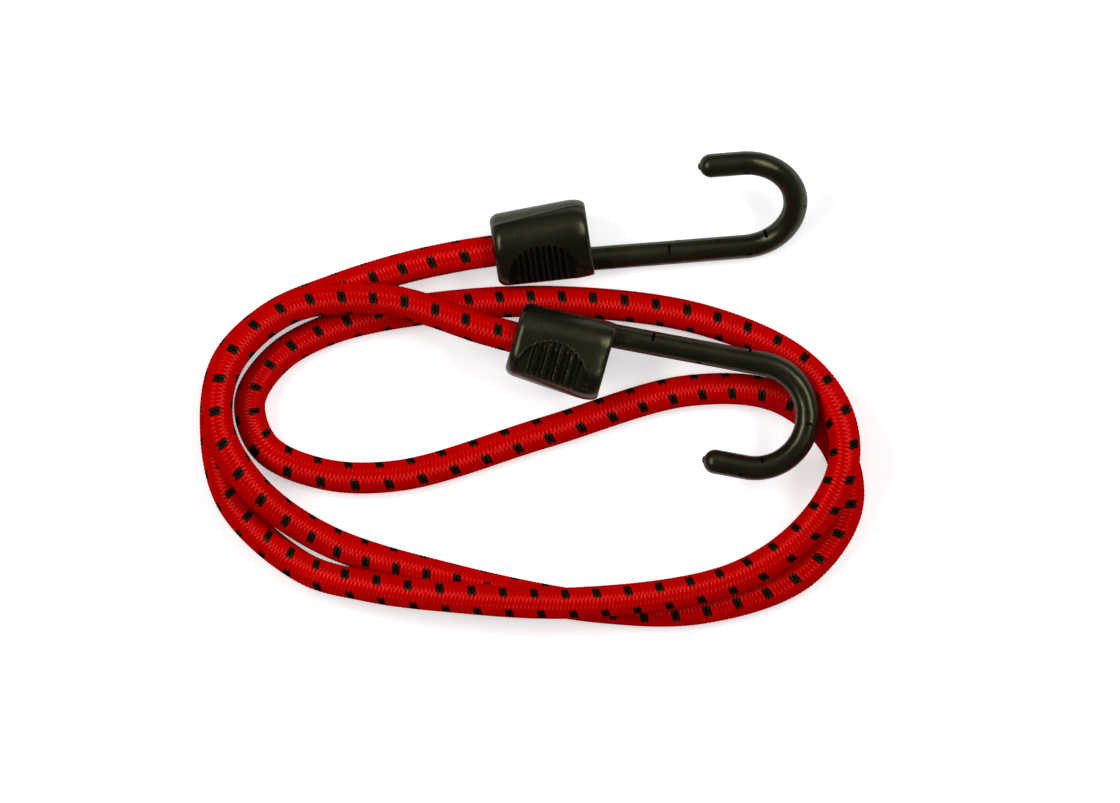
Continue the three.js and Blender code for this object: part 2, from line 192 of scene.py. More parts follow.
@dataclass(frozen=True)
class BraidYarn:
    """Textured polyester yarn of fine filaments: matt, with painted shade and painted highlights.

    It is drawn on the map "yarn": X runs along a float, whose ends lie at whole numbers, and Y across
    the yarn from its middle to its sides at half a unit.
    """

    name: str
    light: str
    dark: str
    painted_glint: str
    painted_glint_share: float
    # The fibres throw a share of the light back in their own colour, not in that of the lamps
    metallic: float = 0.0
    sheen: str = "#ffffff"
    roughness: float = 0.38
    # How often the filaments' pattern changes along one float and across the yarn
    changes_along: float = 1.7
    filaments_across: float = 7.0
    # What the filaments add to the yarn's tone, and the painted shade that darkens each yarn towards its
    # sides, in the valleys between yarns
    strand_share: float = 0.5
    painted_side_shade: Fade = Fade(0.22, 0.5, 0.62, 0.0)
    # The relief of the filaments and of the whole yarn
    relief: float = 0.03 * MM
    rounding: float = 0.07 * MM
    # Where the stroke of painted highlight lies from a float's end, and how it fades along and across the
    # float
    stroke_place: float = 0.17
    stroke_fade: Fade = Fade(0.04, 0.24, 1.0, 0.06)
    crown_fade: Fade = Fade(0.03, 0.24, 1.0, 0.0)

    def make(self) -> bpy.types.Material:
        """Makes the yarn: filaments along each float, painted shade towards its sides and painted highlights
        on its crown.

        Its round is a bump of height -(2 off)^2, with off the distance from its middle, and the
        filaments are a finer bump on that.

        Returns:
            The material.
        """
        material, tree, shader = new_material(self.name)
        uv = add_node(tree, "ShaderNodeUVMap", uv_map="yarn")
        scale = (self.changes_along, self.filaments_across, 1.0)
        stretch = add_node(tree, "ShaderNodeMapping", {"Vector": uv.outputs["UV"], "Scale": scale})
        strands = add_node(
            tree, "ShaderNodeTexNoise",
            {"Vector": stretch.outputs["Vector"], "Scale": 1.0, "Detail": 2.0, "Roughness": 0.55},
            noise_dimensions="2D",
        )
        split = add_node(tree, "ShaderNodeSeparateXYZ", {"Vector": uv.outputs["UV"]})
        off = add_node(tree, "ShaderNodeMath", {0: split.outputs["Y"]}, operation="ABSOLUTE")
        # Painted shade: the yarn's colour darkens towards its sides, in the valleys between neighbouring
        # yarns
        side = add_node(
            tree, "ShaderNodeMapRange", self.painted_side_shade.inputs(off.outputs[0]),
            interpolation_type="SMOOTHSTEP",
        )
        shade = add_node(
            tree, "ShaderNodeMath",
            {0: strands.outputs[0], 1: self.strand_share, 2: side.outputs[0]}, operation="MULTIPLY_ADD",
        )
        colour = add_node(
            tree, "ShaderNodeValToRGB", {"Fac": shade.outputs[0]},
            stops=((0.2, linear(self.dark)), (0.8, linear(self.light))),
        )
        squared = add_node(
            tree, "ShaderNodeMath", {0: off.outputs[0], 1: off.outputs[0]}, operation="MULTIPLY",
        )
        crown = add_node(tree, "ShaderNodeMath", {0: squared.outputs[0], 1: -4.0}, operation="MULTIPLY")
        rounded = add_node(
            tree, "ShaderNodeBump", {"Height": crown.outputs[0], "Strength": 1.0, "Distance": self.rounding},
        )
        bump = add_node(
            tree, "ShaderNodeBump",
            {
                "Height": strands.outputs[0], "Strength": 0.6, "Distance": self.relief,
                "Normal": rounded.outputs[0],
            },
        )
        # Painted highlight: the yarn's colour is mixed towards a pale colour in strokes along the cord's top
        # Inputs 6 and 7 are the two colours that the node mixes
        with_painted_highlight = add_node(
            tree, "ShaderNodeMix",
            {"Factor": self._painted_glints(tree, split, off, strands), 6: colour.outputs[0], 7: linear(self.painted_glint)},
            data_type="RGBA",
        )
        tree.links.new(with_painted_highlight.outputs[2], shader.inputs["Base Color"])
        tree.links.new(bump.outputs[0], shader.inputs["Normal"])
        shader.inputs["Roughness"].default_value = self.roughness
        # Polyester fibre, but without its mirroring skin, which would grey the cord's sides
        shader.inputs["IOR"].default_value = 1.57
        shader.inputs["Specular IOR Level"].default_value = 0.0
        shader.inputs["Specular Tint"].default_value = linear(self.sheen)
        shader.inputs["Metallic"].default_value = self.metallic
        return material

    def _painted_glints(
        self, tree: bpy.types.NodeTree, split: bpy.types.Node, off: bpy.types.Node, strands: bpy.types.Node,
    ) -> bpy.types.NodeSocket:
        """Finds the pale strokes of painted highlight on each float's crown, along the cord's top.

        They are strongest at the floats' ends, where neighbouring columns lean against each other,
        and are the product of four shares: of the top, the stroke, the crown and the filaments.

        Args:
            tree: the yarn's node tree.
            split: the yarn coordinates; a float's ends lie at whole numbers of the first.
            off: how far a point lies from the yarn's middle.
            strands: the filaments' noise, which makes the strokes uneven.

        Returns:
            The share of painted highlight colour.
        """
        from_end = add_node(tree, "ShaderNodeMath", {0: split.outputs["X"], 1: 0.5}, operation="PINGPONG")
        past_stroke = add_node(
            tree, "ShaderNodeMath", {0: from_end.outputs[0], 1: self.stroke_place}, operation="SUBTRACT",
        )
        from_stroke = add_node(
            tree, "ShaderNodeMath", {0: past_stroke.outputs[0]}, operation="ABSOLUTE",
        )
        # The painted highlight is drawn only on the cord's top, where the light falls from above
        painted_shine = add_node(tree, "ShaderNodeAttribute", attribute_name="top").outputs["Fac"]
        for driver, fade in (
            (from_stroke, self.stroke_fade),
            (off, self.crown_fade),
            (strands, Fade(0.38, 0.6, 0.3, self.painted_glint_share)),
        ):
            share = add_node(
                tree, "ShaderNodeMapRange", fade.inputs(driver.outputs[0]), interpolation_type="SMOOTHSTEP",
            )
            product = add_node(
                tree, "ShaderNodeMath", {0: painted_shine, 1: share.outputs[0]}, operation="MULTIPLY",
            )
            painted_shine = product.outputs[0]
        return painted_shine


@dataclass(frozen=True)
class MouldedPlastic:
    """Black polypropylene from a satin tool: broad dim highlights and a faint flow texture."""

    name: str = "moulded_polypropylene"
    body: str = "#11100a"
    worn: str = "#181710"
    sheen: str = "#fffdbe"
    roughness: Fade = Fade(0.0, 1.0, 0.22, 0.4)
    # The tool's grain, the ripples of sinking plastic and the marks of its flow
    grain: float = 0.35 * MM
    grain_depth: float = 0.02 * MM
    ripple: float = 2.4 * MM
    ripple_depth: float = 0.12 * MM
    flow: float = 9 * MM

    def make(self) -> bpy.types.Material:
        """Makes the plastic: fine grain on slow ripples, and a lighter tint where its flow varies.

        Returns:
            The material.
        """
        material, tree, shader = new_material(self.name)
        place = add_node(tree, "ShaderNodeTexCoord")
        fine, slow, sunk = (
            add_node(
                tree, "ShaderNodeTexNoise",
                {"Vector": place.outputs["Object"], "Scale": 1 / size, "Detail": detail},
            )
            for size, detail in ((self.grain, 3.0), (self.flow, 2.0), (self.ripple, 1.0))
        )
        colour = add_node(
            tree, "ShaderNodeValToRGB", {"Fac": slow.outputs[0]},
            stops=((0.35, linear(self.body)), (0.8, linear(self.worn))),
        )
        rough = add_node(tree, "ShaderNodeMapRange", self.roughness.inputs(slow.outputs[0]))
        ripples = add_node(
            tree, "ShaderNodeBump",
            {"Height": sunk.outputs[0], "Strength": 1.0, "Distance": self.ripple_depth},
        )
        bump = add_node(
            tree, "ShaderNodeBump",
            {
                "Height": fine.outputs[0], "Strength": 0.25, "Distance": self.grain_depth,
                "Normal": ripples.outputs[0],
            },
        )
        tree.links.new(colour.outputs[0], shader.inputs["Base Color"])
        tree.links.new(rough.outputs[0], shader.inputs["Roughness"])
        tree.links.new(bump.outputs[0], shader.inputs["Normal"])
        # Polypropylene
        shader.inputs["IOR"].default_value = 1.49
        shader.inputs["Specular Tint"].default_value = linear(self.sheen)
        return material


@dataclass(frozen=True)
class DrawnWire:
    """Drawn steel wire, zinc plated: a grey metal whose shine breaks up in fine lines."""

    name: str = "drawn_steel_wire"
    colour: str = "#a9abad"
    roughness: Fade = Fade(0.0, 1.0, 0.25, 0.45)
    line: float = 0.3 * MM

    def make(self) -> bpy.types.Material:
        """Makes the wire: metal whose roughness varies in fine streaks.

        Returns:
            The material.
        """
        material, tree, shader = new_material(self.name)
        place = add_node(tree, "ShaderNodeTexCoord")
        streaks = add_node(
            tree, "ShaderNodeTexNoise",
            {"Vector": place.outputs["Object"], "Scale": 1 / self.line, "Detail": 2.0},
        )
        rough = add_node(tree, "ShaderNodeMapRange", self.roughness.inputs(streaks.outputs[0]))
        tree.links.new(rough.outputs[0], shader.inputs["Roughness"])
        shader.inputs["Base Color"].default_value = linear(self.colour)
        shader.inputs["Metallic"].default_value = 1.0
        return material


@dataclass(frozen=True)
class NaturalRubber:
    """Cut natural rubber thread, dusted with talc: pale amber and matt."""

    name: str = "cut_natural_rubber"
    amber: str = "#b99c66"
    dusted: str = "#d9c79f"
    roughness: float = 0.7
    grain: float = 0.5 * MM

    def make(self) -> bpy.types.Material:
        """Makes the rubber: amber with pale dust in soft spots.

        Returns:
            The material.
        """
        material, tree, shader = new_material(self.name)
        place = add_node(tree, "ShaderNodeTexCoord")
        dust = add_node(
            tree, "ShaderNodeTexNoise",
            {"Vector": place.outputs["Object"], "Scale": 1 / self.grain, "Detail": 3.0},
        )
        colour = add_node(
            tree, "ShaderNodeValToRGB", {"Fac": dust.outputs[0]},
            stops=((0.4, linear(self.amber)), (0.65, linear(self.dusted))),
        )
        tree.links.new(colour.outputs[0], shader.inputs["Base Color"])
        shader.inputs["Roughness"].default_value = self.roughness
        # Natural rubber
        shader.inputs["IOR"].default_value = 1.52
        return material


@dataclass(frozen=True)
class WhiteSweep:
    """Matt white paint, which looks white to the camera and in whatever mirrors it."""

    name: str = "white_sweep"
    colour: str = "#f4f4f4"
    roughness: float = 0.9
    # What it gives off to the camera and to surfaces that mirror it
    seen_lift: float = 0.48
    mirrored_lift: float = 0.05

    def make(self) -> bpy.types.Material:
        """Makes the paint: matt white, and a glow that lights nothing else.

        Returns:
            The material.
        """
        material, tree, shader = new_material(self.name)
        shader.inputs["Base Color"].default_value = linear(self.colour)
        shader.inputs["Roughness"].default_value = self.roughness
        shader.inputs["Specular IOR Level"].default_value = 0.0
        output = next(node for node in tree.nodes if node.type == "OUTPUT_MATERIAL")
        light_path = add_node(tree, "ShaderNodeLightPath")
        mirrored = add_node(
            tree, "ShaderNodeMath",
            {0: light_path.outputs["Is Glossy Ray"], 1: light_path.outputs["Is Transmission Ray"]},
            operation="MAXIMUM",
        )
        lift = add_node(
            tree, "ShaderNodeMath",
            {0: light_path.outputs["Is Camera Ray"], 1: self.seen_lift}, operation="MULTIPLY",
        )
        lift = add_node(
            tree, "ShaderNodeMath",
            {0: mirrored.outputs[0], 1: self.mirrored_lift, 2: lift.outputs[0]}, operation="MULTIPLY_ADD",
        )
        glow = add_node(tree, "ShaderNodeEmission", {"Strength": lift.outputs[0]})
        both = add_node(tree, "ShaderNodeAddShader", {0: shader.outputs[0], 1: glow.outputs[0]})
        tree.links.new(both.outputs[0], output.inputs["Surface"])
        return material


def link_object(name: str, data: bpy.types.ID) -> bpy.types.Object:
    """Makes an object of a mesh, a camera or a lamp, and links it to the scene."""
    item = bpy.data.objects.new(name, data)
    bpy.context.scene.collection.objects.link(item)
    return item


def build_object(
    name: str,
    vertices: np.ndarray,
    faces: np.ndarray | list[list[int]],
    materials: list[bpy.types.Material],
    face_materials: np.ndarray | None = None,
    corner_uv: np.ndarray | None = None,
) -> bpy.types.Object:
    """Puts arrays into a smooth shaded mesh object at the origin.

    Args:
        name: the piece's name.
        vertices: points, three numbers each.
        faces: the vertex numbers of each face, as an array or, where they differ in count, a list.
        materials: the object's materials.
        face_materials: each face's material number.
        corner_uv: the yarn coordinates of each face's corners.

    Returns:
        The new object, linked to the scene.
    """
    mesh = bpy.data.meshes.new(name)
    mesh.from_pydata(vertices.reshape(-1, 3), [], faces if isinstance(faces, list) else faces.tolist())
    mesh.shade_smooth()
    for material in materials:
        mesh.materials.append(material)
    if face_materials is not None:
        mesh.polygons.foreach_set("material_index", face_materials.astype(np.int32))
    if corner_uv is not None:
        layer = mesh.uv_layers.new(name="yarn")
        layer.uv.foreach_set("vector", corner_uv.astype(np.float32).ravel())
    mesh.update()
    return link_object(name, mesh)


def grid_quads(rows: int, columns: int, wrap_rows: bool = False) -> np.ndarray:
    """Numbers the quads of a grid of points whose columns close on themselves.

    Args:
        rows: the rings of the grid.
        columns: the points in each ring.
        wrap_rows: whether the last ring joins the first.

    Returns:
        Four vertex numbers for each quad, ring by ring.
    """
    ring = np.arange(rows if wrap_rows else rows - 1)[:, None]
    side = np.arange(columns)[None, :]
    following = (ring + 1) % rows
    beside = (side + 1) % columns
    corners = (ring * columns + side, ring * columns + beside,
               following * columns + beside, following * columns + side)
    return np.stack(np.broadcast_arrays(*corners), axis=-1).reshape(-1, 4)


def unit(vectors: np.ndarray) -> np.ndarray:
    """Scales each row to a length of one."""
    return vectors / np.linalg.norm(vectors, axis=-1, keepdims=True)


def reach_along(points: np.ndarray) -> np.ndarray:
    """Measures how far along a line each of its points lies."""
    return np.concatenate([[0.0], np.cumsum(np.linalg.norm(np.diff(points, axis=0), axis=1))])


def read_along(at: np.ndarray | float, reach: np.ndarray, values: np.ndarray) -> np.ndarray:
    """Reads rows of three values at distances along a line, evenly between its points."""
    return np.stack([np.interp(at, reach, values[:, axis]) for axis in range(3)], axis=-1)


def around(
    middle: np.ndarray, aside: np.ndarray, out: np.ndarray, radius: np.ndarray, angle: np.ndarray,
) -> np.ndarray:
    """Sets points round a middle: middle + radius (cos angle * aside + sin angle * out)."""
    across = np.cos(angle)[..., None] * aside + np.sin(angle)[..., None] * out
    return middle + radius[..., None] * across


class CordLine:
    """The cord's middle line, as points close together with a level frame at each."""

    def __init__(self, points: np.ndarray, lowest: float, samples_per_span: int = 60) -> None:
        """Lays the line through its points.

        Args:
            points: the points that it passes through, in metres.
            lowest: the least height of the middle of the cord.
            samples_per_span: how finely each span is worked out.
        """
        self.points = self._through(points, samples_per_span)
        self.points[:, 2] = np.maximum(self.points[:, 2], lowest)
        self.reach = reach_along(self.points)
        self.way = unit(np.gradient(self.points, self.reach, axis=0))
        self.side = unit(np.cross(UP, self.way))
        self.up = np.cross(self.way, self.side)

    @property
    def length(self) -> float:
        """The length of the line."""
        return float(self.reach[-1])

    @staticmethod
    def _through(points: np.ndarray, samples: int) -> np.ndarray:
        """Passes a centripetal Catmull-Rom curve through points.

        Each span is a cubic Hermite curve whose end slopes come from its neighbours, with knots a
        fourth root of the squared distance apart.

        Args:
            points: the points, with the ends mirrored outwards for their slopes.
            samples: how many samples a span has.

        Returns:
            The samples, one row each.
        """
        before = 2 * points[0] - points[1]
        after = 2 * points[-1] - points[-2]
        knots = np.vstack([before, points, after])
        gaps = np.linalg.norm(np.diff(knots, axis=0), axis=1) ** 0.5
        p0, p1, p2, p3 = knots[:-3], knots[1:-2], knots[2:-1], knots[3:]
        d0, d1, d2 = (g[:, None] for g in (gaps[:-2], gaps[1:-1], gaps[2:]))
        slope1 = ((p1 - p0) / d0 - (p2 - p0) / (d0 + d1) + (p2 - p1) / d1) * d1
        slope2 = ((p2 - p1) / d1 - (p3 - p1) / (d1 + d2) + (p3 - p2) / d2) * d1
        t = (np.arange(samples) / samples)[None, :, None]
        a, b = p1[:, None], p2[:, None]
        s, e = slope1[:, None], slope2[:, None]
        spans = (2 * t**3 - 3 * t**2 + 1) * a + (t**3 - 2 * t**2 + t) * s
        spans = spans + (3 * t**2 - 2 * t**3) * b + (t**3 - t**2) * e
        return np.vstack([spans.reshape(-1, 3), points[-1]])

    def place(self, along: np.ndarray, radius: np.ndarray, angle: np.ndarray) -> np.ndarray:
        """Sets points round the line: middle + radius (cos angle * left + sin angle * up).

        Args:
            along: the distance along the line of each point.
            radius: its distance from the line.
            angle: its angle, from the left over the top.

        Returns:
            The points.
        """
        at = np.clip(along, 0.0, self.length)
        frames = (read_along(at, self.reach, values) for values in (self.points, self.side, self.up))
        return around(*frames, radius, angle)


@dataclass
class Cord:
    """The braided sheath, its rubber core and the line that they lie on."""

    diameter: float = 8 * MM
    sheath_wall: float = 0.6 * MM
    bore_step: float = 2 * MM
    # How far the cord runs into each barrel
    tail: float = 12 * MM
    # The construction's hose has flat sides, on which it rests
    hose_sides: int = 12
    # The height of the yarns, and how far a valley lies from their middle height against a crown
    yarn_height: float = 0.11 * MM
    valley_share: float = -0.5
    # Columns of floats, the shares of a column at which the grid has points, and the lean in yarns
    floats_round: int = 8
    float_shares: tuple[float, ...] = (0.0, 0.1, 0.37, 0.63, 0.9)
    lean_share: float = 0.6
    # The cosines of the angles from the cord's top at which the painted highlight begins and is full
    top_cosines: tuple[float, float] = (0.88, 0.98)
    # Yarns from one dash to the next, and those of them that are a dash
    yarns_in_repeat: int = 8
    tracers_in_repeat: int = 2
    # How far apart two yarns lie in the filaments' pattern, in floats
    pattern_step: int = 12
    # The bundle of rubber threads
    core_threads_across: int = 5
    core_thread: float = 0.98 * MM
    core_gap: float = 0.12 * MM
    core_step: float = 3 * MM
    line: CordLine = field(init=False)

    def lay(self, hooks: list["Hook"]) -> None:
        """Lays the line from hook A's barrel to hook B's, straight for a diameter at each mouth.

        Args:
            hooks: hook A and hook B.
        """
        on_axis = np.outer([self.tail, 0.0, -self.diameter], [1.0, 0.0, 0.0])
        start, end = (hook.to_world(on_axis) for hook in hooks)
        points = np.vstack([start, np.array(LAID_POINTS) * MM, end[::-1]])
        self.line = CordLine(points, lowest=self.diameter / 2 * math.cos(math.pi / self.hose_sides))

    def braid(self, materials: list[bpy.types.Material]) -> bpy.types.Object:
        """Braids the sheath: a hose whose outside is one grid of yarn floats.

        Round the cord lie eight columns of floats, which lean forwards and back in turn by three
        fifths of a yarn's pitch, and the grid's rings lean with them. Every second ring of a column
        is a yarn's crown and the one beside it a valley, and both arch across the column as
        sqrt(1 - (2 share - 1)^2). Neighbouring columns are half a yarn apart, so that each float's
        tip runs out into the valley of the column beside it.

        Args:
            materials: the ground yarn and the tracer yarn.

        Returns:
            The sheath.
        """
        sides = self.floats_round * len(self.float_shares)
        yarns = int(self.yarns_in_repeat * BRAID_STATIONS[-1][1])
        first = int(self.yarns_in_repeat * BRAID_STATIONS[0][1]) - 1
        ring = np.arange(2 * first, 2 * yarns)[:, None]
        side = np.arange(sides)[None, :]
        column = side // len(self.float_shares)
        share = self._columns_at(side) - column
        lean = np.where(column % 2 == 1, 0.5 - share, share - 0.5) * self.lean_share - 0.5
        along = self.along_of(ring / 2 + lean)
        keep = (along.min(axis=1) > 0.0) & (along.max(axis=1) < self.line.length)
        ring, along = ring[keep], along[keep]
        crown = np.where((ring + column) % 2 == 0, 1.0, self.valley_share)
        arch = np.sqrt(np.clip(1.0 - (2.0 * share - 1.0) ** 2, 0.0, 1.0))
        radius = self.diameter / 2 - self.yarn_height * (1.0 - crown * arch) / 2
        angle = (self._columns_at(side) - 0.5) / self.floats_round * TURN + self.row_angle(along)
        outside = self.line.place(along, radius, angle)
        faces, colours, uv, creases = self._floats(ring[:, 0], sides)
        vertices, faces, colours, uv = self._line_with_bore(outside, faces, colours, uv)
        vertices[:, 2] = np.maximum(vertices[:, 2], 0.0)
        sheath = build_object("braided_sheath", vertices, faces, materials, colours, uv)
        self._part_yarns(sheath.data, creases)
        self._mark_top(sheath.data, angle)
        return sheath

    def along_of(self, yarn: np.ndarray) -> np.ndarray:
        """Finds the distance along the line of a count of yarns."""
        stations = np.array(BRAID_STATIONS)
        return np.interp(yarn / self.yarns_in_repeat, stations[:, 1], stations[:, 0] * MM)

    def row_angle(self, along: np.ndarray) -> np.ndarray:
        """Finds the angle of the dashes' row, which turns slowly as the cord is laid."""
        stations = np.array(BRAID_STATIONS)
        return np.radians(np.interp(along / MM, stations[:, 0], stations[:, 2]))

    def _columns_at(self, side: np.ndarray) -> np.ndarray:
        """Counts the columns passed up to a point of a ring: whole columns and a share of the next."""
        shares = np.array(self.float_shares)
        return side // len(shares) + shares[side % len(shares)]

    def _yarn_of(self, yarn: np.ndarray, column: np.ndarray) -> np.ndarray:
        """Says which yarn floats at a place of a column.

        A tracer pair takes two of every eight yarns of the columns that lean forwards. Its yarns go
        on under the column between and come up two yarns further along.

        Args:
            yarn: the count of yarns along the cord.
            column: the column's number.

        Returns:
            The yarn's place among the materials.
        """
        column = column % self.floats_round
        tracer = (column % 2 == 0) & ((yarn - column) % self.yarns_in_repeat < self.tracers_in_repeat)
        return np.where(tracer, Yarn.TRACER.value, Yarn.GROUND.value)

    def _floats(self, ring: np.ndarray, sides: int) -> tuple[np.ndarray, np.ndarray, np.ndarray, np.ndarray]:
        """Splits the grid into triangles, so that each float ends in a point beyond its column.

        In the first and last cell of a column the triangle on the border belongs to the float of
        the neighbour, whose point it is. The other triangle belongs to the column's own float.

        Args:
            ring: the number of each ring.
            sides: how many points a ring has.

        Returns:
            The triangles, their yarns, their corners' yarn coordinates and the creased edges.
        """
        cells = np.meshgrid(np.arange(len(ring) - 1), np.arange(sides), indexing="ij")
        near, side = (numbers.ravel() for numbers in cells)
        column = side // len(self.float_shares)
        place = side % len(self.float_shares)
        at_start = place == 0
        at_end = place == len(self.float_shares) - 1
        valley_is_near = (ring[near] + column) % 2 == 1
        beside = (side + 1) % sides
        border = np.where(at_end, beside, side)
        inner = np.where(at_end, side, beside)
        valley = np.where(valley_is_near, near, near + 1)
        crown = np.where(valley_is_near, near + 1, near)
        border_valley, border_crown = valley * sides + border, crown * sides + border
        inner_valley, inner_crown = valley * sides + inner, crown * sides + inner
        tip = np.stack([border_valley, border_crown, inner_valley], axis=-1)
        own = np.stack([border_crown, inner_crown, inner_valley], axis=-1)
        neighbour = np.where(at_start, column - 1, np.where(at_end, column + 1, column))
        own_yarn = (ring[crown] - column % 2) // 2 + column % 2
        tip_yarn = (ring[valley] - neighbour % 2) // 2 + neighbour % 2
        tip_yarn = np.where(at_start | at_end, tip_yarn, own_yarn)
        turned = (valley_is_near == at_end)[:, None]
        tip = np.where(turned, tip[:, ::-1], tip)
        own = np.where(turned, own[:, ::-1], own)
        faces = np.vstack([tip, own])
        colours = np.concatenate([self._yarn_of(tip_yarn, neighbour), self._yarn_of(own_yarn, column)])
        yarns = np.concatenate([tip_yarn, own_yarn])
        columns = np.concatenate([neighbour, column])
        corner_ring = ring[faces // sides]
        corner_side = faces % sides
        corner_side = np.where(corner_side < np.tile(side, 2)[:, None] - 1, corner_side + sides, corner_side)
        across = (corner_ring + columns[:, None] % 2) / 2.0 - yarns[:, None]
        uv = np.stack([self._columns_at(corner_side) + yarns[:, None] * self.pattern_step, across], axis=-1)
        edge_cell = at_start | at_end
        slanted = np.stack([border_crown, inner_valley], axis=-1)[edge_cell]
        straight = np.stack([border_valley, inner_valley], axis=-1)[~edge_cell]
        return faces, colours, uv, np.vstack([slanted, straight])

    def _line_with_bore(
        self, outside: np.ndarray, faces: np.ndarray, colours: np.ndarray, uv: np.ndarray,
    ) -> tuple[np.ndarray, np.ndarray, np.ndarray, np.ndarray]:
        """Closes the outside into a hose with a smooth bore and two cut ends.

        Args:
            outside: the outer grid, ring by ring.
            faces: its triangles.
            colours: each triangle's yarn.
            uv: each triangle's corner coordinates.

        Returns:
            Vertices, triangles, yarns and corner coordinates of the whole hose.
        """
        rings, sides = outside.shape[:2]
        bore_rings = int(self.line.length / self.bore_step)
        along = np.linspace(self.line.length, 0.0, bore_rings)[:, None]
        columns = self._columns_at(np.arange(sides))[None, :]
        angle = (columns - 0.5) / self.floats_round * TURN + self.row_angle(along)
        radius = np.full((bore_rings, sides), self.diameter / 2 - self.sheath_wall)
        bore = self.line.place(np.broadcast_to(along, angle.shape), radius, angle)
        vertices = np.vstack([outside.reshape(-1, 3), bore.reshape(-1, 3)])
        whole = grid_quads(rings + bore_rings, sides, wrap_rows=True)
        extra = whole[(rings - 1) * sides:]
        extra = np.vstack([extra[:, [0, 1, 2]], extra[:, [0, 2, 3]]])
        plain = np.full(len(extra), Yarn.GROUND.value)
        return (
            vertices,
            np.vstack([faces, extra]),
            np.concatenate([colours, plain]),
            np.concatenate([uv, np.zeros((len(extra), 3, 2))]),
        )

    def _part_yarns(self, mesh: bpy.types.Mesh, creases: np.ndarray) -> None:
        """Creases the valleys between neighbouring yarns, so that each is shaded as a round strand.

        Args:
            mesh: the sheath.
            creases: the edges to crease, as pairs of vertex numbers.
        """
        count = len(mesh.vertices)
        ends = np.empty(len(mesh.edges) * 2, dtype=np.int32)
        mesh.edges.foreach_get("vertices", ends)
        ends = np.sort(ends.reshape(-1, 2), axis=1).astype(np.int64)
        wanted = np.sort(creases, axis=1).astype(np.int64)
        sharp = np.isin(ends[:, 0] * count + ends[:, 1], wanted[:, 0] * count + wanted[:, 1])
        crease = mesh.attributes.new("sharp_edge", "BOOLEAN", "EDGE")
        crease.data.foreach_set("value", sharp)

    def _mark_top(self, mesh: bpy.types.Mesh, angle: np.ndarray) -> None:
        """Gives each point its share of the cord's top, where the yarns' painted highlight is drawn.

        Args:
            mesh: the sheath, whose outer points come first.
            angle: the outer points' angles, from the left over the top.
        """
        top = np.zeros(len(mesh.vertices))
        top[:angle.size] = smoothstep(*self.top_cosines, np.sin(angle)).ravel()
        mesh.attributes.new("top", "FLOAT", "POINT").data.foreach_set("value", top)

    def core(self, material: bpy.types.Material) -> bpy.types.Object:
        """Fills the bore with a bundle of square cut rubber threads, on a square pitch.

        The threads are those whose four corners all lie inside the bore.

        Args:
            material: the rubber.

        Returns:
            The bundle, one closed body for each thread.
        """
        pitch = self.core_thread + self.core_gap
        half = self.core_thread / 2
        spots = (np.arange(self.core_threads_across) - (self.core_threads_across - 1) / 2) * pitch
        middles = np.array([(x, y) for x in spots for y in spots])
        corners = np.array([[-half, -half], [half, -half], [half, half], [-half, half]])
        sections = middles[:, None] + corners
        radius = np.hypot(sections[..., 0], sections[..., 1])
        sections = sections[radius.max(axis=1) <= self.diameter / 2 - self.sheath_wall]
        radius = np.hypot(sections[..., 0], sections[..., 1])[:, None]
        angle = np.arctan2(sections[..., 1], sections[..., 0])[:, None]
        steps = int(self.line.length / self.core_step)
        along = np.linspace(0.0, self.line.length, steps)[:, None]
        shape = (len(sections), steps, 4)
        points = self.line.place(*(np.broadcast_to(values, shape) for values in (along, radius, angle)))
        last = (steps - 1) * 4
        thread = np.vstack([grid_quads(steps, 4), [[3, 2, 1, 0]], [[last, last + 1, last + 2, last + 3]]])
        faces = thread + np.arange(len(sections))[:, None, None] * steps * 4
        bundle = build_object("rubber_core", points, faces.reshape(-1, 4), [material])
        bundle.data.shade_flat()
        return bundle


@dataclass(frozen=True)
class ThumbScoop:
    """A round hollow in one broad face of the barrel, over a floor that slopes down to one side."""

    turn_deg: float
    radius: float
    along: float
    offset: float
    rim: float
    tilt_deg: float


@dataclass(frozen=True)
class Mark:
    """A mark that the mould left on the rod: its place, the way it faces, its size and its depth.

    The place is a share of the rod's length out of the barrel, and the foot share says how long the
    mark's floor is against its rim.
    """

    share: float
    turn_deg: float
    along: float = 0.8 * MM
    across: float = 2.6 * MM
    depth: float = 1.35 * MM
    foot_share: float = 0.2


@dataclass(frozen=True)
class Flash:
    """The fine ridge that the mould's two halves leave along their parting line."""

    height: float = 0.07 * MM
    width: float = 0.22 * MM

    def rise(self, off: np.ndarray) -> np.ndarray:
        """Rises to the height on the line, and falls smoothly to nothing at the width off it."""
        return self.height * (1.0 - smoothstep(0.0, self.width, off))


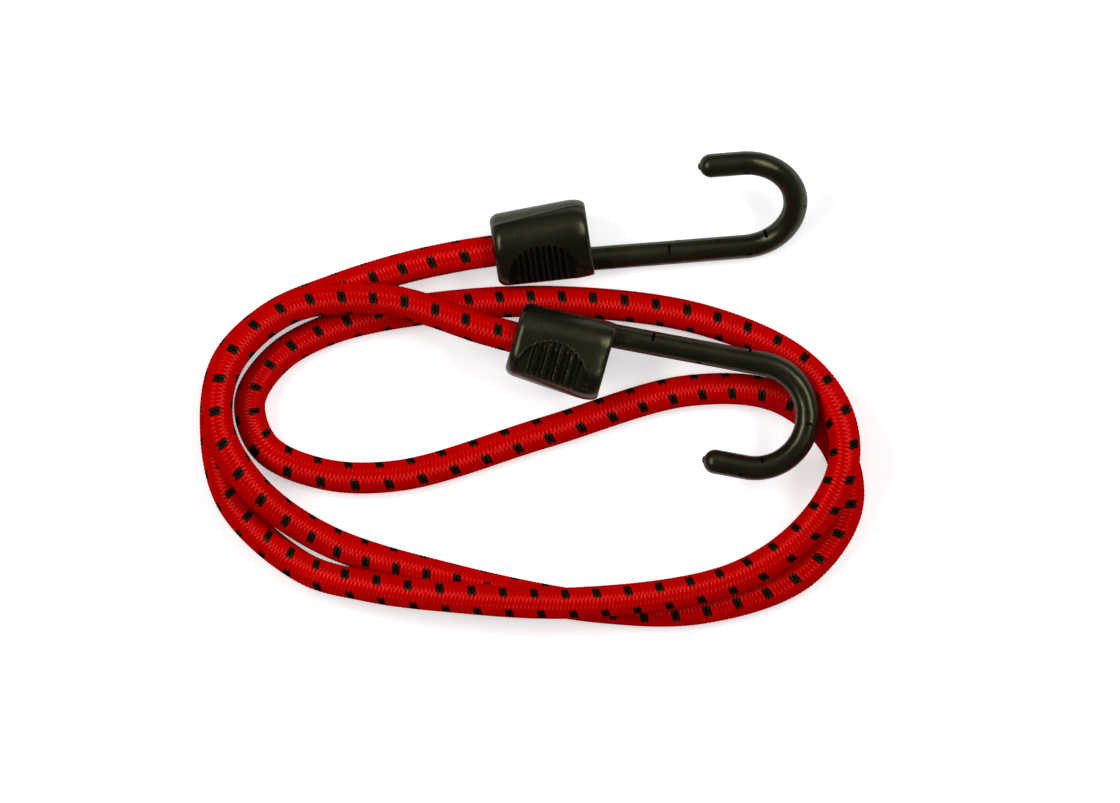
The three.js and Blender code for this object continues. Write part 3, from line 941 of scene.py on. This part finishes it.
@dataclass(frozen=True)
class Barrel:
    """The hollow barrel of a hook: an oblong body with a thumb scoop in each broad face."""

    # Its section, which widens from the mouth to the shank's end
    length: float = 24.3 * MM
    thickness: float = 15.5 * MM
    mouth_width: float = 18 * MM
    shank_end_width: float = 20.4 * MM
    corner: float = 6.8 * MM
    # Its rounded ends: how far they draw in, over what length, how much of that is left at the
    # shank's end on the shank's side, and the cosines from there at which that begins and is full
    edge: float = 1.8 * MM
    mouth_edge: float = 2.4 * MM
    shank_edge: float = 4.8 * MM
    shank_side_share: float = 0.35
    shank_side_cosines: tuple[float, float] = (0.3, 0.95)
    # The hollow: the mouth with its flare (depth and width as shares of it), the ring's seat and the
    # way out beside the shank
    mouth_radius: float = 4.45 * MM
    mouth_flare: float = 0.8 * MM
    flare_profile: tuple[tuple[float, float], ...] = ((0.5, 0.4), (1.0, 0.08), (1.3, 0.0))
    mouth_length: float = 3.5 * MM
    seat_radius: float = 5.8 * MM
    seat_end: float = 15.5 * MM
    exit_radius: float = 5.6 * MM
    exit_offset: float = 1.2 * MM
    exit_chamfer: float = 0.4 * MM
    # The scoops, their ribs (the flank as a part of a rib's wave), their rims and the lip round them
    scoops: tuple[ThumbScoop, ...] = (
        ThumbScoop(
            turn_deg=0.0, radius=9 * MM, along=11.6 * MM, offset=3.9 * MM, rim=0.75 * MM, tilt_deg=6.5,
        ),
        ThumbScoop(
            turn_deg=180.0, radius=9.5 * MM, along=11.3 * MM, offset=7.5 * MM, rim=0.3 * MM, tilt_deg=14.0,
        ),
    )
    rib_count: int = 9
    rib_pitch: float = 1.5 * MM
    rib_height: float = 0.85 * MM
    rib_flank: tuple[float, float] = (0.1, 0.8)
    scallop: float = 0.35 * MM
    scoop_edge: float = 0.35 * MM
    lip_height: float = 0.1 * MM
    lip_width: float = 0.3 * MM
    # How steeply a ray has to meet a scoop's floor, as a sine, to count as meeting it
    least_facing: float = 0.05
    # The parting line: flash on a blunt edge, which runs askew on the tip's side
    flash: Flash = Flash()
    parting_rise: float = 0.3 * MM
    parting_reach: float = 2.2 * MM
    parting_skew_deg: tuple[float, float] = (11.5, -3.0)
    # How finely the surface is worked out, with closer columns along the parting lines
    columns_round: int = 264
    seam: tuple[float, ...] = (-0.04, -0.022, -0.01, 0.01, 0.022, 0.04)
    skew_fan_deg: tuple[float, float, float] = (-4.5, 13.0, 0.6)
    step_along: float = 0.13 * MM
    end_rings: int = 9
    wall_rings: int = 12
    wall_margin: float = 0.1 * MM

    def _outline(self, along: np.ndarray, inset: np.ndarray, angle: np.ndarray) -> np.ndarray:
        """Measures the barrel's oblong section from its axis.

        The section is a rectangle with round corners: along a ray, the distance to its flat side,
        to its flat top or to the corner's circle, whichever the ray meets.

        Args:
            along: the distance from the mouth.
            inset: how far the section is drawn in.
            angle: the ray's angle from the tip's side.

        Returns:
            The distance along each ray.
        """
        width = self.mouth_width + (self.shank_end_width - self.mouth_width) * along / self.length
        half_y = width / 2 - inset
        half_z = self.thickness / 2 - inset
        radius = self.corner - inset
        cos = np.abs(np.cos(angle))
        sin = np.abs(np.sin(angle))
        centre_y = half_y - radius
        centre_z = half_z - radius
        reach = centre_y * cos + centre_z * sin
        corner = reach + np.sqrt(np.maximum(reach**2 - centre_y**2 - centre_z**2 + radius**2, 0.0))
        side = half_y / np.maximum(cos, TINY)
        top = half_z / np.maximum(sin, TINY)
        on_side = side * sin <= centre_z
        on_top = top * cos <= centre_y
        return np.where(on_side, side, np.where(on_top, top, corner))

    def _scooped(self, along: np.ndarray, angle: np.ndarray, outline: np.ndarray) -> np.ndarray:
        """Takes the two thumb scoops out of the barrel's outline.

        A scoop's floor is a plane that slopes down to one side of the barrel and carries rounded
        ribs, so a ray meets it at height / (sin angle - slope cos angle). Round its rim stands a
        low lip, height * e^-((off / width)^2), drawn in a little at the end of each rib.

        Args:
            along: the distance from the mouth.
            angle: the ray's angle from the tip's side.
            outline: the barrel's distance along each ray.

        Returns:
            The distance with both scoops.
        """
        result = outline
        for scoop in self.scoops:
            tilt = math.radians(scoop.tilt_deg)
            slope = math.tan(tilt)
            middle = self.thickness / 2 - scoop.rim - scoop.radius * math.sin(tilt)
            height = middle + scoop.offset * slope
            rib = (along - scoop.along) / self.rib_pitch
            inside = np.abs(rib) < self.rib_count / 2
            wave = np.where(inside, np.cos(math.pi * (rib - np.round(rib))) ** 2, 0.0)
            turned = angle + math.radians(scoop.turn_deg)
            facing = np.sin(turned) - slope * np.cos(turned)
            floor = (height + self.rib_height * smoothstep(*self.rib_flank, wave)) / np.maximum(facing, TINY)
            y = floor * np.cos(turned)
            from_centre = np.hypot(along - scoop.along, (y + scoop.offset) / math.cos(tilt))
            reach = scoop.radius - self.scallop * wave
            wall = smoothstep(0.0, self.scoop_edge, reach - from_centre)
            meets_floor = (facing > self.least_facing) & (np.sin(turned) > 0)
            lip = self.lip_height * np.exp(-(((from_centre - reach) / self.lip_width) ** 2))
            result = result - np.where(meets_floor, np.maximum(outline - floor, 0.0), 0.0) * wall
            result = result + np.where(meets_floor & (outline > floor), lip, 0.0) * (1.0 - wall)
        return result

    def _parting(self, along: np.ndarray, angle: np.ndarray) -> np.ndarray:
        """Raises the parting line, where the drafts of the mould's two halves meet in a blunt edge.

        The rise is rise * e^(-off / reach) and a fine ridge of flash, with off the distance round the
        section from the line. On the tip's side the line runs askew, from the mouth to the shank's end.

        Args:
            along: the distance from the mouth.
            angle: the ray's angle from the tip's side.

        Returns:
            The rise of the surface.
        """
        start, stop = (math.radians(turn) for turn in self.parting_skew_deg)
        skew = start + (stop - start) * along / self.length
        turns = [(angle - line + math.pi) % TURN - math.pi for line in (skew, math.pi)]
        off = np.minimum(np.abs(turns[0]), np.abs(turns[1])) * self.mouth_width / 2
        return self.parting_rise * np.exp(-off / self.parting_reach) + self.flash.rise(off)

    def _outside(self, angle: np.ndarray) -> tuple[np.ndarray, np.ndarray]:
        """Follows the barrel's outside from the shank's end to the mouth.

        Both ends are rounded as a quarter ellipse, drawn in by edge (1 - sin t) at a distance of
        length (1 - cos t) from the end. The shank's end is rounded less on the shank's side.

        Args:
            angle: the rays' angles from the tip's side.

        Returns:
            The distance of each ring from the mouth, and of its points from the axis.
        """
        end = self.length
        turn = np.linspace(0.0, math.pi / 2, self.end_rings)
        rounding = 1.0 - np.cos(turn)
        drawn_in = self.edge * (1.0 - np.sin(turn))
        straight = np.arange(self.mouth_edge, end - self.shank_edge, self.step_along)[1:]
        along = np.concatenate(
            [end - self.shank_edge * rounding, straight[::-1], self.mouth_edge * rounding[::-1]],
        )[:, None]
        inset = np.concatenate([drawn_in, np.zeros(len(straight)), drawn_in[::-1]])[:, None]
        on_shank_side = smoothstep(*self.shank_side_cosines, -np.cos(angle)) * (along > end / 2)
        inset = inset * (1.0 - (1.0 - self.shank_side_share) * on_shank_side)
        outline = self._outline(along, inset, angle)
        return along, self._scooped(along, angle, outline) + self._parting(along, angle)

    def _hollow(self, angle: np.ndarray, mouth: np.ndarray, shank_end: np.ndarray) -> list[tuple]:
        """Follows the hollow from the mouth's face, over the ring's seat, to the shank end's face.

        The way out is a circle beside the axis: offset cos a + sqrt(radius^2 - (offset sin a)^2).

        Args:
            angle: the rays' angles from the tip's side.
            mouth: the outside's last ring, at the mouth.
            shank_end: its first ring, at the shank's end.

        Returns:
            Each ring's distance from the mouth, with the distances of its points from the axis.
        """
        rows = []

        def face(where: float, start: np.ndarray, stop: np.ndarray, shares: tuple) -> None:
            """Adds rings across a flat face, at shares of the way from one radius to another."""
            rows.extend((where, start + (stop - start) * share) for share in shares)

        def wall(start: float, stop: float, radius: np.ndarray) -> None:
            """Adds rings along a straight wall."""
            places = np.linspace(start + self.wall_margin, stop - self.wall_margin, self.wall_rings)
            rows.extend((where, radius) for where in places)

        way_out = self.exit_offset * np.cos(angle)
        way_out = way_out + np.sqrt(self.exit_radius**2 - (self.exit_offset * np.sin(angle)) ** 2)
        seat = np.full_like(angle, self.seat_radius)
        bore = np.full_like(angle, self.mouth_radius)
        end = self.length
        face(0.0, mouth, bore + self.mouth_flare, (0.03, 0.97, 1.0))
        for depth, width in self.flare_profile:
            rows.append((self.mouth_flare * depth, bore + self.mouth_flare * width))
        rows.append((self.mouth_length, bore))
        face(self.mouth_length, bore, seat, (0.05, 0.95, 1.0))
        wall(self.mouth_length, self.seat_end, seat)
        face(self.seat_end, seat, way_out, (0.0, 0.05, 0.95, 1.0))
        wall(self.seat_end, end - self.exit_chamfer, way_out)
        face(end, way_out + self.exit_chamfer, shank_end, (0.0, 0.03, 0.97))
        return rows

    def shell(self, material: bpy.types.Material) -> bpy.types.Object:
        """Makes the barrel as one closed surface: outside, mouth, seat for the ring and way out.

        The surface is a grid. One way runs round the axis, the other follows the wall's section from
        the shank's end over the outside to the mouth, and back through the hollow.

        Args:
            material: the plastic.

        Returns:
            The barrel, in the hook's own frame.
        """
        even = np.arange(self.columns_round) / self.columns_round * TURN
        straight = np.array(self.seam) + math.pi
        askew = np.radians(np.arange(*self.skew_fan_deg)) % TURN
        angle = np.unique(np.round(np.concatenate([even, askew, straight]), 5))[None, :]
        along, outer = self._outside(angle)
        rows = [(along, outer), *self._hollow(angle, outer[-1:], outer[:1])]
        along = np.vstack([np.broadcast_to(where, radius.shape) for where, radius in rows])
        radius = np.vstack([radius for _, radius in rows])
        points = np.stack([along, radius * np.cos(angle), radius * np.sin(angle)], axis=-1)
        quads = grid_quads(*radius.shape, wrap_rows=True)[:, ::-1]
        return build_object("barrel", points, quads, [material])


@dataclass(frozen=True)
class Rod:
    """The rod of a hook: a shank that leaves the barrel aslant, a round J and a blunt tip."""

    barrel_length: float
    diameter: float = 6 * MM
    # Its line: how far it starts beside the barrel's axis and reaches back into the barrel, its
    # slant, and the lengths of its parts
    start: float = 5 * MM
    root: float = 6 * MM
    diverge_deg: float = 5.0
    shank_length: float = 62.9 * MM
    bend_radius: float = 13.2 * MM
    tip_length: float = 7.8 * MM
    # The nub of the gate, whose end is kept from closing to a point
    nub_radius: float = 0.9 * MM
    nub_length: float = 0.5 * MM
    nub_closing: float = 0.98
    flash: Flash = Flash()
    # How finely it is worked out: columns, closer along the flash, and rings of shank, bend and tip
    columns_round: int = 48
    seam: tuple[float, ...] = (-0.08, -0.045, -0.02, 0.02, 0.045, 0.08)
    rings: tuple[int, int, int] = (70, 120, 20)
    dome_rings: int = 14
    nub_rings: int = 5
    # Where pins held the wire, ejectors pushed, and the mould stood in beside the root
    pin_slots: tuple[Mark, ...] = (
        Mark(0.11, 234), Mark(0.22, 36), Mark(0.39, 197), Mark(0.52, 17),
        Mark(0.67, 264, across=1.8 * MM, depth=0.6 * MM), Mark(0.86, 318),
    )
    pits: tuple[Mark, ...] = (
        Mark(0.36, 9, 0.9 * MM, 0.9 * MM, 0.35 * MM, 0.6),
        Mark(0.45, 96, 1.3 * MM, 0.9 * MM, 0.5 * MM, 0.5),
        Mark(0.67, 138, 0.8 * MM, 0.8 * MM, 0.4 * MM, 0.6),
        Mark(0.9, 66, 1.4 * MM, 1.0 * MM, 0.5 * MM, 0.5),
        Mark(0.25, 333, 1.2 * MM, 0.8 * MM, 0.4 * MM, 0.6),
        Mark(0.92, 225, 1.4 * MM, 1.0 * MM, 0.5 * MM, 0.5),
    )
    root_recesses: tuple[Mark, ...] = tuple(
        Mark(0.028, turn_deg, 4.2 * MM, 2.1 * MM, 0.5 * MM, 0.95) for turn_deg in (90, 270)
    )

    def _line(self) -> tuple[np.ndarray, np.ndarray]:
        """Follows the middle of the rod: the shank, half a circle and the tip, in the J's plane.

        Returns:
            The points and the directions.
        """
        diverge = math.radians(self.diverge_deg)
        ahead = np.array([math.cos(diverge), -math.sin(diverge), 0.0])
        across = np.array([math.sin(diverge), math.cos(diverge), 0.0])
        origin = np.array([0.0, -self.start, 0.0])
        start = (self.barrel_length - self.root) / math.cos(diverge)
        shank_rings, bend_rings, tip_rings = self.rings
        shank = np.linspace(start, self.shank_length, shank_rings)[:-1, None]
        turn = np.linspace(0.0, math.pi, bend_rings)[:, None]
        tip = np.linspace(0.0, self.tip_length, tip_rings)[1:, None]
        centre = origin + ahead * self.shank_length + across * self.bend_radius
        bend = centre + self.bend_radius * (np.sin(turn) * ahead - np.cos(turn) * across)
        points = np.vstack([origin + shank * ahead, bend, bend[-1] - tip * ahead])
        ways = np.vstack([
            np.broadcast_to(ahead, (len(shank), 3)),
            np.cos(turn) * ahead + np.sin(turn) * across,
            np.broadcast_to(-ahead, (len(tip), 3)),
        ])
        return points, ways

    def solid(self, material: bpy.types.Material) -> bpy.types.Object:
        """Makes the rod: a round section along its line, a domed tip and the nub of the gate.

        The dome has a radius of r cos t at r sin t past the line's end, and the nub one of
        n sqrt(1 - closing s^2) at a share s of its length. A fine ridge of flash runs along both
        sides, in the J's plane.

        Args:
            material: the plastic.

        Returns:
            The rod, in the hook's own frame.
        """
        points, ways = self._line()
        radius = self.diameter / 2
        dome = np.linspace(0.0, math.acos(self.nub_radius / radius), self.dome_rings)[1:]
        nub = np.linspace(0.0, 1.0, self.nub_rings)[1:]
        top = radius * math.sin(dome[-1])
        ahead = np.concatenate([radius * np.sin(dome), top + self.nub_length * nub])
        swell = np.concatenate([
            np.full(len(points), radius),
            radius * np.cos(dome),
            self.nub_radius * np.sqrt(1.0 - self.nub_closing * nub**2),
        ])
        points = np.vstack([points, points[-1] + ahead[:, None] * ways[-1]])
        ways = np.vstack([ways, np.broadcast_to(ways[-1], (len(ahead), 3))])
        even = np.arange(self.columns_round) / self.columns_round * TURN
        close = np.array(self.seam)
        angle = np.unique(np.round(np.concatenate([even, close % TURN, close + math.pi]), 7))[None, :]
        off = np.abs(np.sin(angle)) * radius
        reach = swell[:, None] + self.flash.rise(off) * smoothstep(0.0, radius, swell)[:, None]
        grid = around(points[:, None], np.cross(UP, ways)[:, None], UP, reach, angle)
        rings, sides = reach.shape
        vertices = np.vstack([grid.reshape(-1, 3), points[0], points[-1]])
        side = np.arange(sides)
        beside = (side + 1) % sides
        start, end, last_ring = rings * sides, rings * sides + 1, (rings - 1) * sides
        start_cap = np.stack([np.full(sides, start), beside, side], axis=-1)
        end_cap = np.stack([np.full(sides, end), last_ring + side, last_ring + beside], axis=-1)
        caps = np.stack([start_cap, end_cap], axis=1).reshape(-1, 3)
        return build_object("rod", vertices, grid_quads(rings, sides).tolist() + caps.tolist(), [material])

    def cutters(self, material: bpy.types.Material) -> bpy.types.Object:
        """Makes the blocks that cut the rod's marks: slots, pits and the recesses at its root.

        A block stands on its mark's floor and rises out of the rod. It lengthens evenly, from the
        foot's share of its length at the floor to the whole of it at the rod's surface.

        Args:
            material: the plastic.

        Returns:
            The blocks, in the hook's own frame.
        """
        points, ways = self._line()
        reach = reach_along(points)
        shank = slice(self.rings[0])
        out_of_barrel = np.interp(self.barrel_length, points[shank, 0], reach[shank])
        corners = np.array([[x, y, z] for x in (-0.5, 0.5) for y in (-0.5, 0.5) for z in (0.0, 1.0)])
        sides = np.array([
            [0, 1, 3, 2], [4, 6, 7, 5], [0, 4, 5, 1], [2, 3, 7, 6], [0, 2, 6, 4], [1, 5, 7, 3],
        ])
        blocks = []
        for mark in (*self.pin_slots, *self.pits, *self.root_recesses):
            at = out_of_barrel + mark.share * (reach[-1] - out_of_barrel)
            way = unit(read_along(at, reach, ways))
            turn = math.radians(mark.turn_deg)
            out = math.cos(turn) * np.cross(UP, way) + math.sin(turn) * UP
            height = corners[:, 2:] * (mark.depth + MM)
            length = mark.along * (mark.foot_share + (1.0 - mark.foot_share) * height / mark.depth)
            floor = read_along(at, reach, points) + out * (self.diameter / 2 - mark.depth)
            lengthwise = corners[:, :1] * length * way
            crosswise = corners[:, 1:2] * mark.across * np.cross(out, way)
            blocks.append(floor + lengthwise + crosswise + height * out)
        quads = sides + len(corners) * np.arange(len(blocks))[:, None, None]
        return build_object("cutters", np.vstack(blocks), quads.reshape(-1, 4), [material])


@dataclass
class Hook:
    """One moulded hook: its place, its barrel, its rod and the crimp ring in its seat."""

    body: Body
    roll_deg: float
    origin: np.ndarray = field(init=False)
    axes: np.ndarray = field(init=False)
    barrel: Barrel = Barrel()
    rod: Rod = field(init=False)
    # The crimp ring: its wire, the gap round the cord, its turns and the gap between them
    ring_wire: float = 1.2 * MM
    ring_gap: float = 0.3 * MM
    ring_turns: float = 1.15
    ring_turn_gap: float = 0.4 * MM
    wire_columns: int = 16
    wire_rings: int = 96
    # Edges sharper than these are creased
    moulding_crease_deg: float = 38.0
    wire_crease_deg: float = 50.0

    def __post_init__(self) -> None:
        """Reads the hook's place from the axis of its swivel, rolls it and fits the rod."""
        joint = next(j for j in frame["record"]["behaviour"]["joints"] if j["child"] == self.body.value)
        self.origin = np.array(joint["pos_m"])
        ahead = unit(np.array(joint["axis"], dtype=float))
        level = unit(np.cross(UP, ahead))
        roll = math.radians(self.roll_deg)
        towards_tip = math.cos(roll) * level + math.sin(roll) * np.cross(ahead, level)
        self.axes = np.stack([ahead, towards_tip, np.cross(ahead, towards_tip)])
        self.rod = Rod(self.barrel.length)

    def to_world(self, points: np.ndarray) -> np.ndarray:
        """Turns points of the hook's own frame into the shared frame."""
        return self.origin + points @ self.axes

    def moulding(self, name: str, material: bpy.types.Material) -> bpy.types.Object:
        """Joins barrel and rod into one moulding, cuts the rod's marks and sets it in its place.

        Args:
            name: the piece's name.
            material: the plastic.

        Returns:
            The finished moulding.
        """
        barrel = self.barrel.shell(material)
        rod = self.rod.solid(material)
        cutters = self.rod.cutters(material)
        for tool, operation in ((rod, "UNION"), (cutters, "DIFFERENCE")):
            cut = barrel.modifiers.new(operation, "BOOLEAN")
            cut.object = tool
            cut.operation = operation
            cut.solver = "MANIFOLD"
        shape = bpy.data.meshes.new_from_object(barrel.evaluated_get(bpy.context.evaluated_depsgraph_get()))
        for spare in (barrel, rod, cutters):
            bpy.data.objects.remove(spare, do_unlink=True)
        places = np.empty(len(shape.vertices) * 3)
        shape.vertices.foreach_get("co", places)
        shape.vertices.foreach_set("co", self.to_world(places.reshape(-1, 3)).ravel())
        shape.shade_smooth()
        shape.set_sharp_from_angle(angle=math.radians(self.moulding_crease_deg))
        shape.update()
        return link_object(name, shape)

    def crimp_ring(self, name: str, cord: Cord, material: bpy.types.Material) -> bpy.types.Object:
        """Winds the crimp ring: a helix of round wire, a little over one turn, behind the mouth.

        Args:
            name: the piece's name.
            cord: the cord that it holds.
            material: the wire's steel.

        Returns:
            The ring.
        """
        wire = self.ring_wire / 2
        radius = cord.diameter / 2 + self.ring_gap + wire
        turn = np.linspace(0.0, self.ring_turns * TURN, self.wire_rings)
        lead = self.ring_wire + self.ring_turn_gap
        along = self.barrel.mouth_length + self.ring_gap + wire + turn / TURN * lead
        aside = np.array([1.0, 0.0, 0.0])
        out = np.stack([np.zeros_like(turn), np.cos(turn), np.sin(turn)], axis=-1)
        middle = along[:, None] * aside + radius * out
        rings, sides = self.wire_rings, self.wire_columns
        angle = np.arange(sides) / sides * TURN
        grid = around(middle[:, None], aside, out[:, None], np.full(sides, wire), angle)
        ends = [list(range(sides))[::-1], list(range((rings - 1) * sides, rings * sides))]
        faces = grid_quads(rings, sides).tolist() + ends
        ring = build_object(name, self.to_world(grid), faces, [material])
        ring.data.set_sharp_from_angle(angle=math.radians(self.wire_crease_deg))
        return ring


@dataclass(frozen=True)
class AreaLamp:
    """A rectangular lamp: its place, size and power, and whether glossy surfaces mirror it."""

    name: str
    place: tuple[float, float, float]
    wide: float
    high: float
    power: float
    mirrored: bool

    def hang(self, aim: tuple[float, float, float]) -> None:
        """Hangs the lamp in its place and turns it to a point.

        Args:
            aim: the point that it shines at.
        """
        data = bpy.data.lights.new(self.name, "AREA")
        data.shape = "RECTANGLE"
        data.size = self.wide
        data.size_y = self.high
        data.energy = self.power
        lamp = link_object(self.name, data)
        away = np.array(self.place) - np.array(aim)
        tilt = math.atan2(math.hypot(away[0], away[1]), away[2])
        lamp.location = self.place
        lamp.rotation_euler = (tilt, 0.0, math.atan2(away[0], -away[1]))
        lamp.visible_glossy = self.mirrored


@dataclass
class Studio:
    """The pale floor, the soft lights and the camera that looks straight down."""

    # The photograph's size, its scale and the pixel at the frame's origin
    picture: tuple[int, int] = (1120, 803)
    metres_per_pixel: float = 0.2523659 * MM
    origin_pixel: tuple[float, float] = (654.2, 316.0)
    distance: float = 5.0
    farthest: float = 20.0
    sensor: float = 36.0
    floor_half: float = 3.0
    floor_drop: float = 0.1 * MM
    room_strength: float = 0.06
    # The middle of the object, and the lamps that face it
    aim: tuple[float, float, float] = (-0.02, -0.03, 0.0)
    lamps: tuple[AreaLamp, ...] = (
        AreaLamp("overhead", (-0.05, 0.3, 1.9), 0.9, 0.9, 4.0, mirrored=False),
        AreaLamp("north_panel", (0.0, 1.2, 1.5), 1.6, 1.6, 2.7, mirrored=True),
        AreaLamp("east_strip", (1.0, 0.35, 1.3), 1.2, 0.35, 12.5, mirrored=True),
        AreaLamp("west_strip", (-1.0, 0.15, 1.3), 1.2, 0.35, 12.5, mirrored=True),
    )

    def camera(self) -> None:
        """Sets the camera over the middle of the photograph, far off, so that heights shift little."""
        data = bpy.data.cameras.new("camera")
        data.sensor_width = self.sensor
        data.lens = self.sensor * self.distance / (self.picture[0] * self.metres_per_pixel)
        data.clip_end = self.farthest
        camera = link_object("camera", data)
        x = (self.picture[0] / 2 - self.origin_pixel[0]) * self.metres_per_pixel
        y = (self.origin_pixel[1] - self.picture[1] / 2) * self.metres_per_pixel
        camera.location = (x, y, self.distance)
        bpy.context.scene.camera = camera

    def floor(self) -> None:
        """Lays a plain white floor that keeps the object's shadow."""
        half = self.floor_half
        corners = np.array([[-half, -half, 0.0], [half, -half, 0.0], [half, half, 0.0], [-half, half, 0.0]])
        floor = build_object(
            "floor", corners - UP * self.floor_drop, np.array([[0, 1, 2, 3]]), [WhiteSweep().make()],
        )

    def lights(self) -> None:
        """Hangs a soft overhead lamp that nothing mirrors, a panel and two strips, in a dim white room."""
        for lamp in self.lamps:
            lamp.hang(self.aim)
        world = bpy.data.worlds.new("room")
        world.use_nodes = True
        background = world.node_tree.nodes["Background"]
        background.inputs["Color"].default_value = (1.0, 1.0, 1.0, 1.0)
        background.inputs["Strength"].default_value = self.room_strength
        bpy.context.scene.world = world
        bpy.context.scene.view_settings.view_transform = "Standard"


def dress_cad_nodes(materials: dict[str, bpy.types.Material]) -> None:
    """Gives each construction node that stays its material.

    Args:
        materials: node name to material.
    """
    for name, material in materials.items():
        node = bpy.data.objects[name]
        node.data.materials.clear()
        node.data.materials.append(material)


def enter(piece: bpy.types.Object, body: Body, slot: str, *nodes: str) -> None:
    """Attaches a finished piece to the body that it rides on, hides the nodes that it replaces and reports
    it.

    Args:
        piece: the piece.
        body: the body that it rides on.
        slot: not used.
        nodes: the construction nodes that it replaces.
    """
    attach(piece, body.value)
    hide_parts(*nodes)
    LOG.info("%s: %d faces", piece.name, len(piece.data.polygons))


def main() -> None:
    """Builds the camera, the cord, the hooks and the studio, in that order."""
    logging.basicConfig(level=logging.INFO, format="%(message)s")
    studio = Studio()
    studio.camera()
    # Each yarn's pale colour is a painted highlight, and its dark colour also carries the painted shade at
    # its sides
    red = BraidYarn(
        "braid_ground_yarn", light="#cc0100", dark="#ba0100", painted_glint="#ff4440", painted_glint_share=0.95,
        metallic=0.1, sheen="#ff2a20",
    ).make()
    black = BraidYarn(
        "braid_tracer_yarn", light="#16160f", dark="#060604", painted_glint="#44442f", painted_glint_share=0.9,
    ).make()
    rubber = NaturalRubber().make()
    plastic = MouldedPlastic().make()
    steel = DrawnWire().make()
    hooks = [Hook(Body.HOOK_A, roll_deg=38.0), Hook(Body.HOOK_B, roll_deg=180.0)]
    cord = Cord()
    cord.lay(hooks)
    LOG.info("cord: %.3f m long", cord.line.length)
    core = cord.core(rubber)
    enter(core, Body.CORD, "rubber_core", *(f"rubber_thread_{number}" for number in range(1, 10)))
    for hook, letter in zip(hooks, "ab"):
        ring = hook.crimp_ring(f"crimp_ring_wound_{letter}", cord, steel)
        enter(ring, Body.CORD, "ring_steel", f"crimp_ring_{letter}")
    sheath = cord.braid([red, black])
    enter(sheath, Body.CORD, "braided_sheath", "cord_sheath")
    for hook, letter in zip(hooks, "ab"):
        shell = hook.moulding(f"hook_{letter}_shell", plastic)
        enter(shell, hook.body, "hook_plastic", f"hook_{letter}_moulding")
    dress_cad_nodes({"hook_a_wire": steel, "hook_b_wire": steel})
    studio.floor()
    studio.lights()


if __name__ == "__main__":
    main()
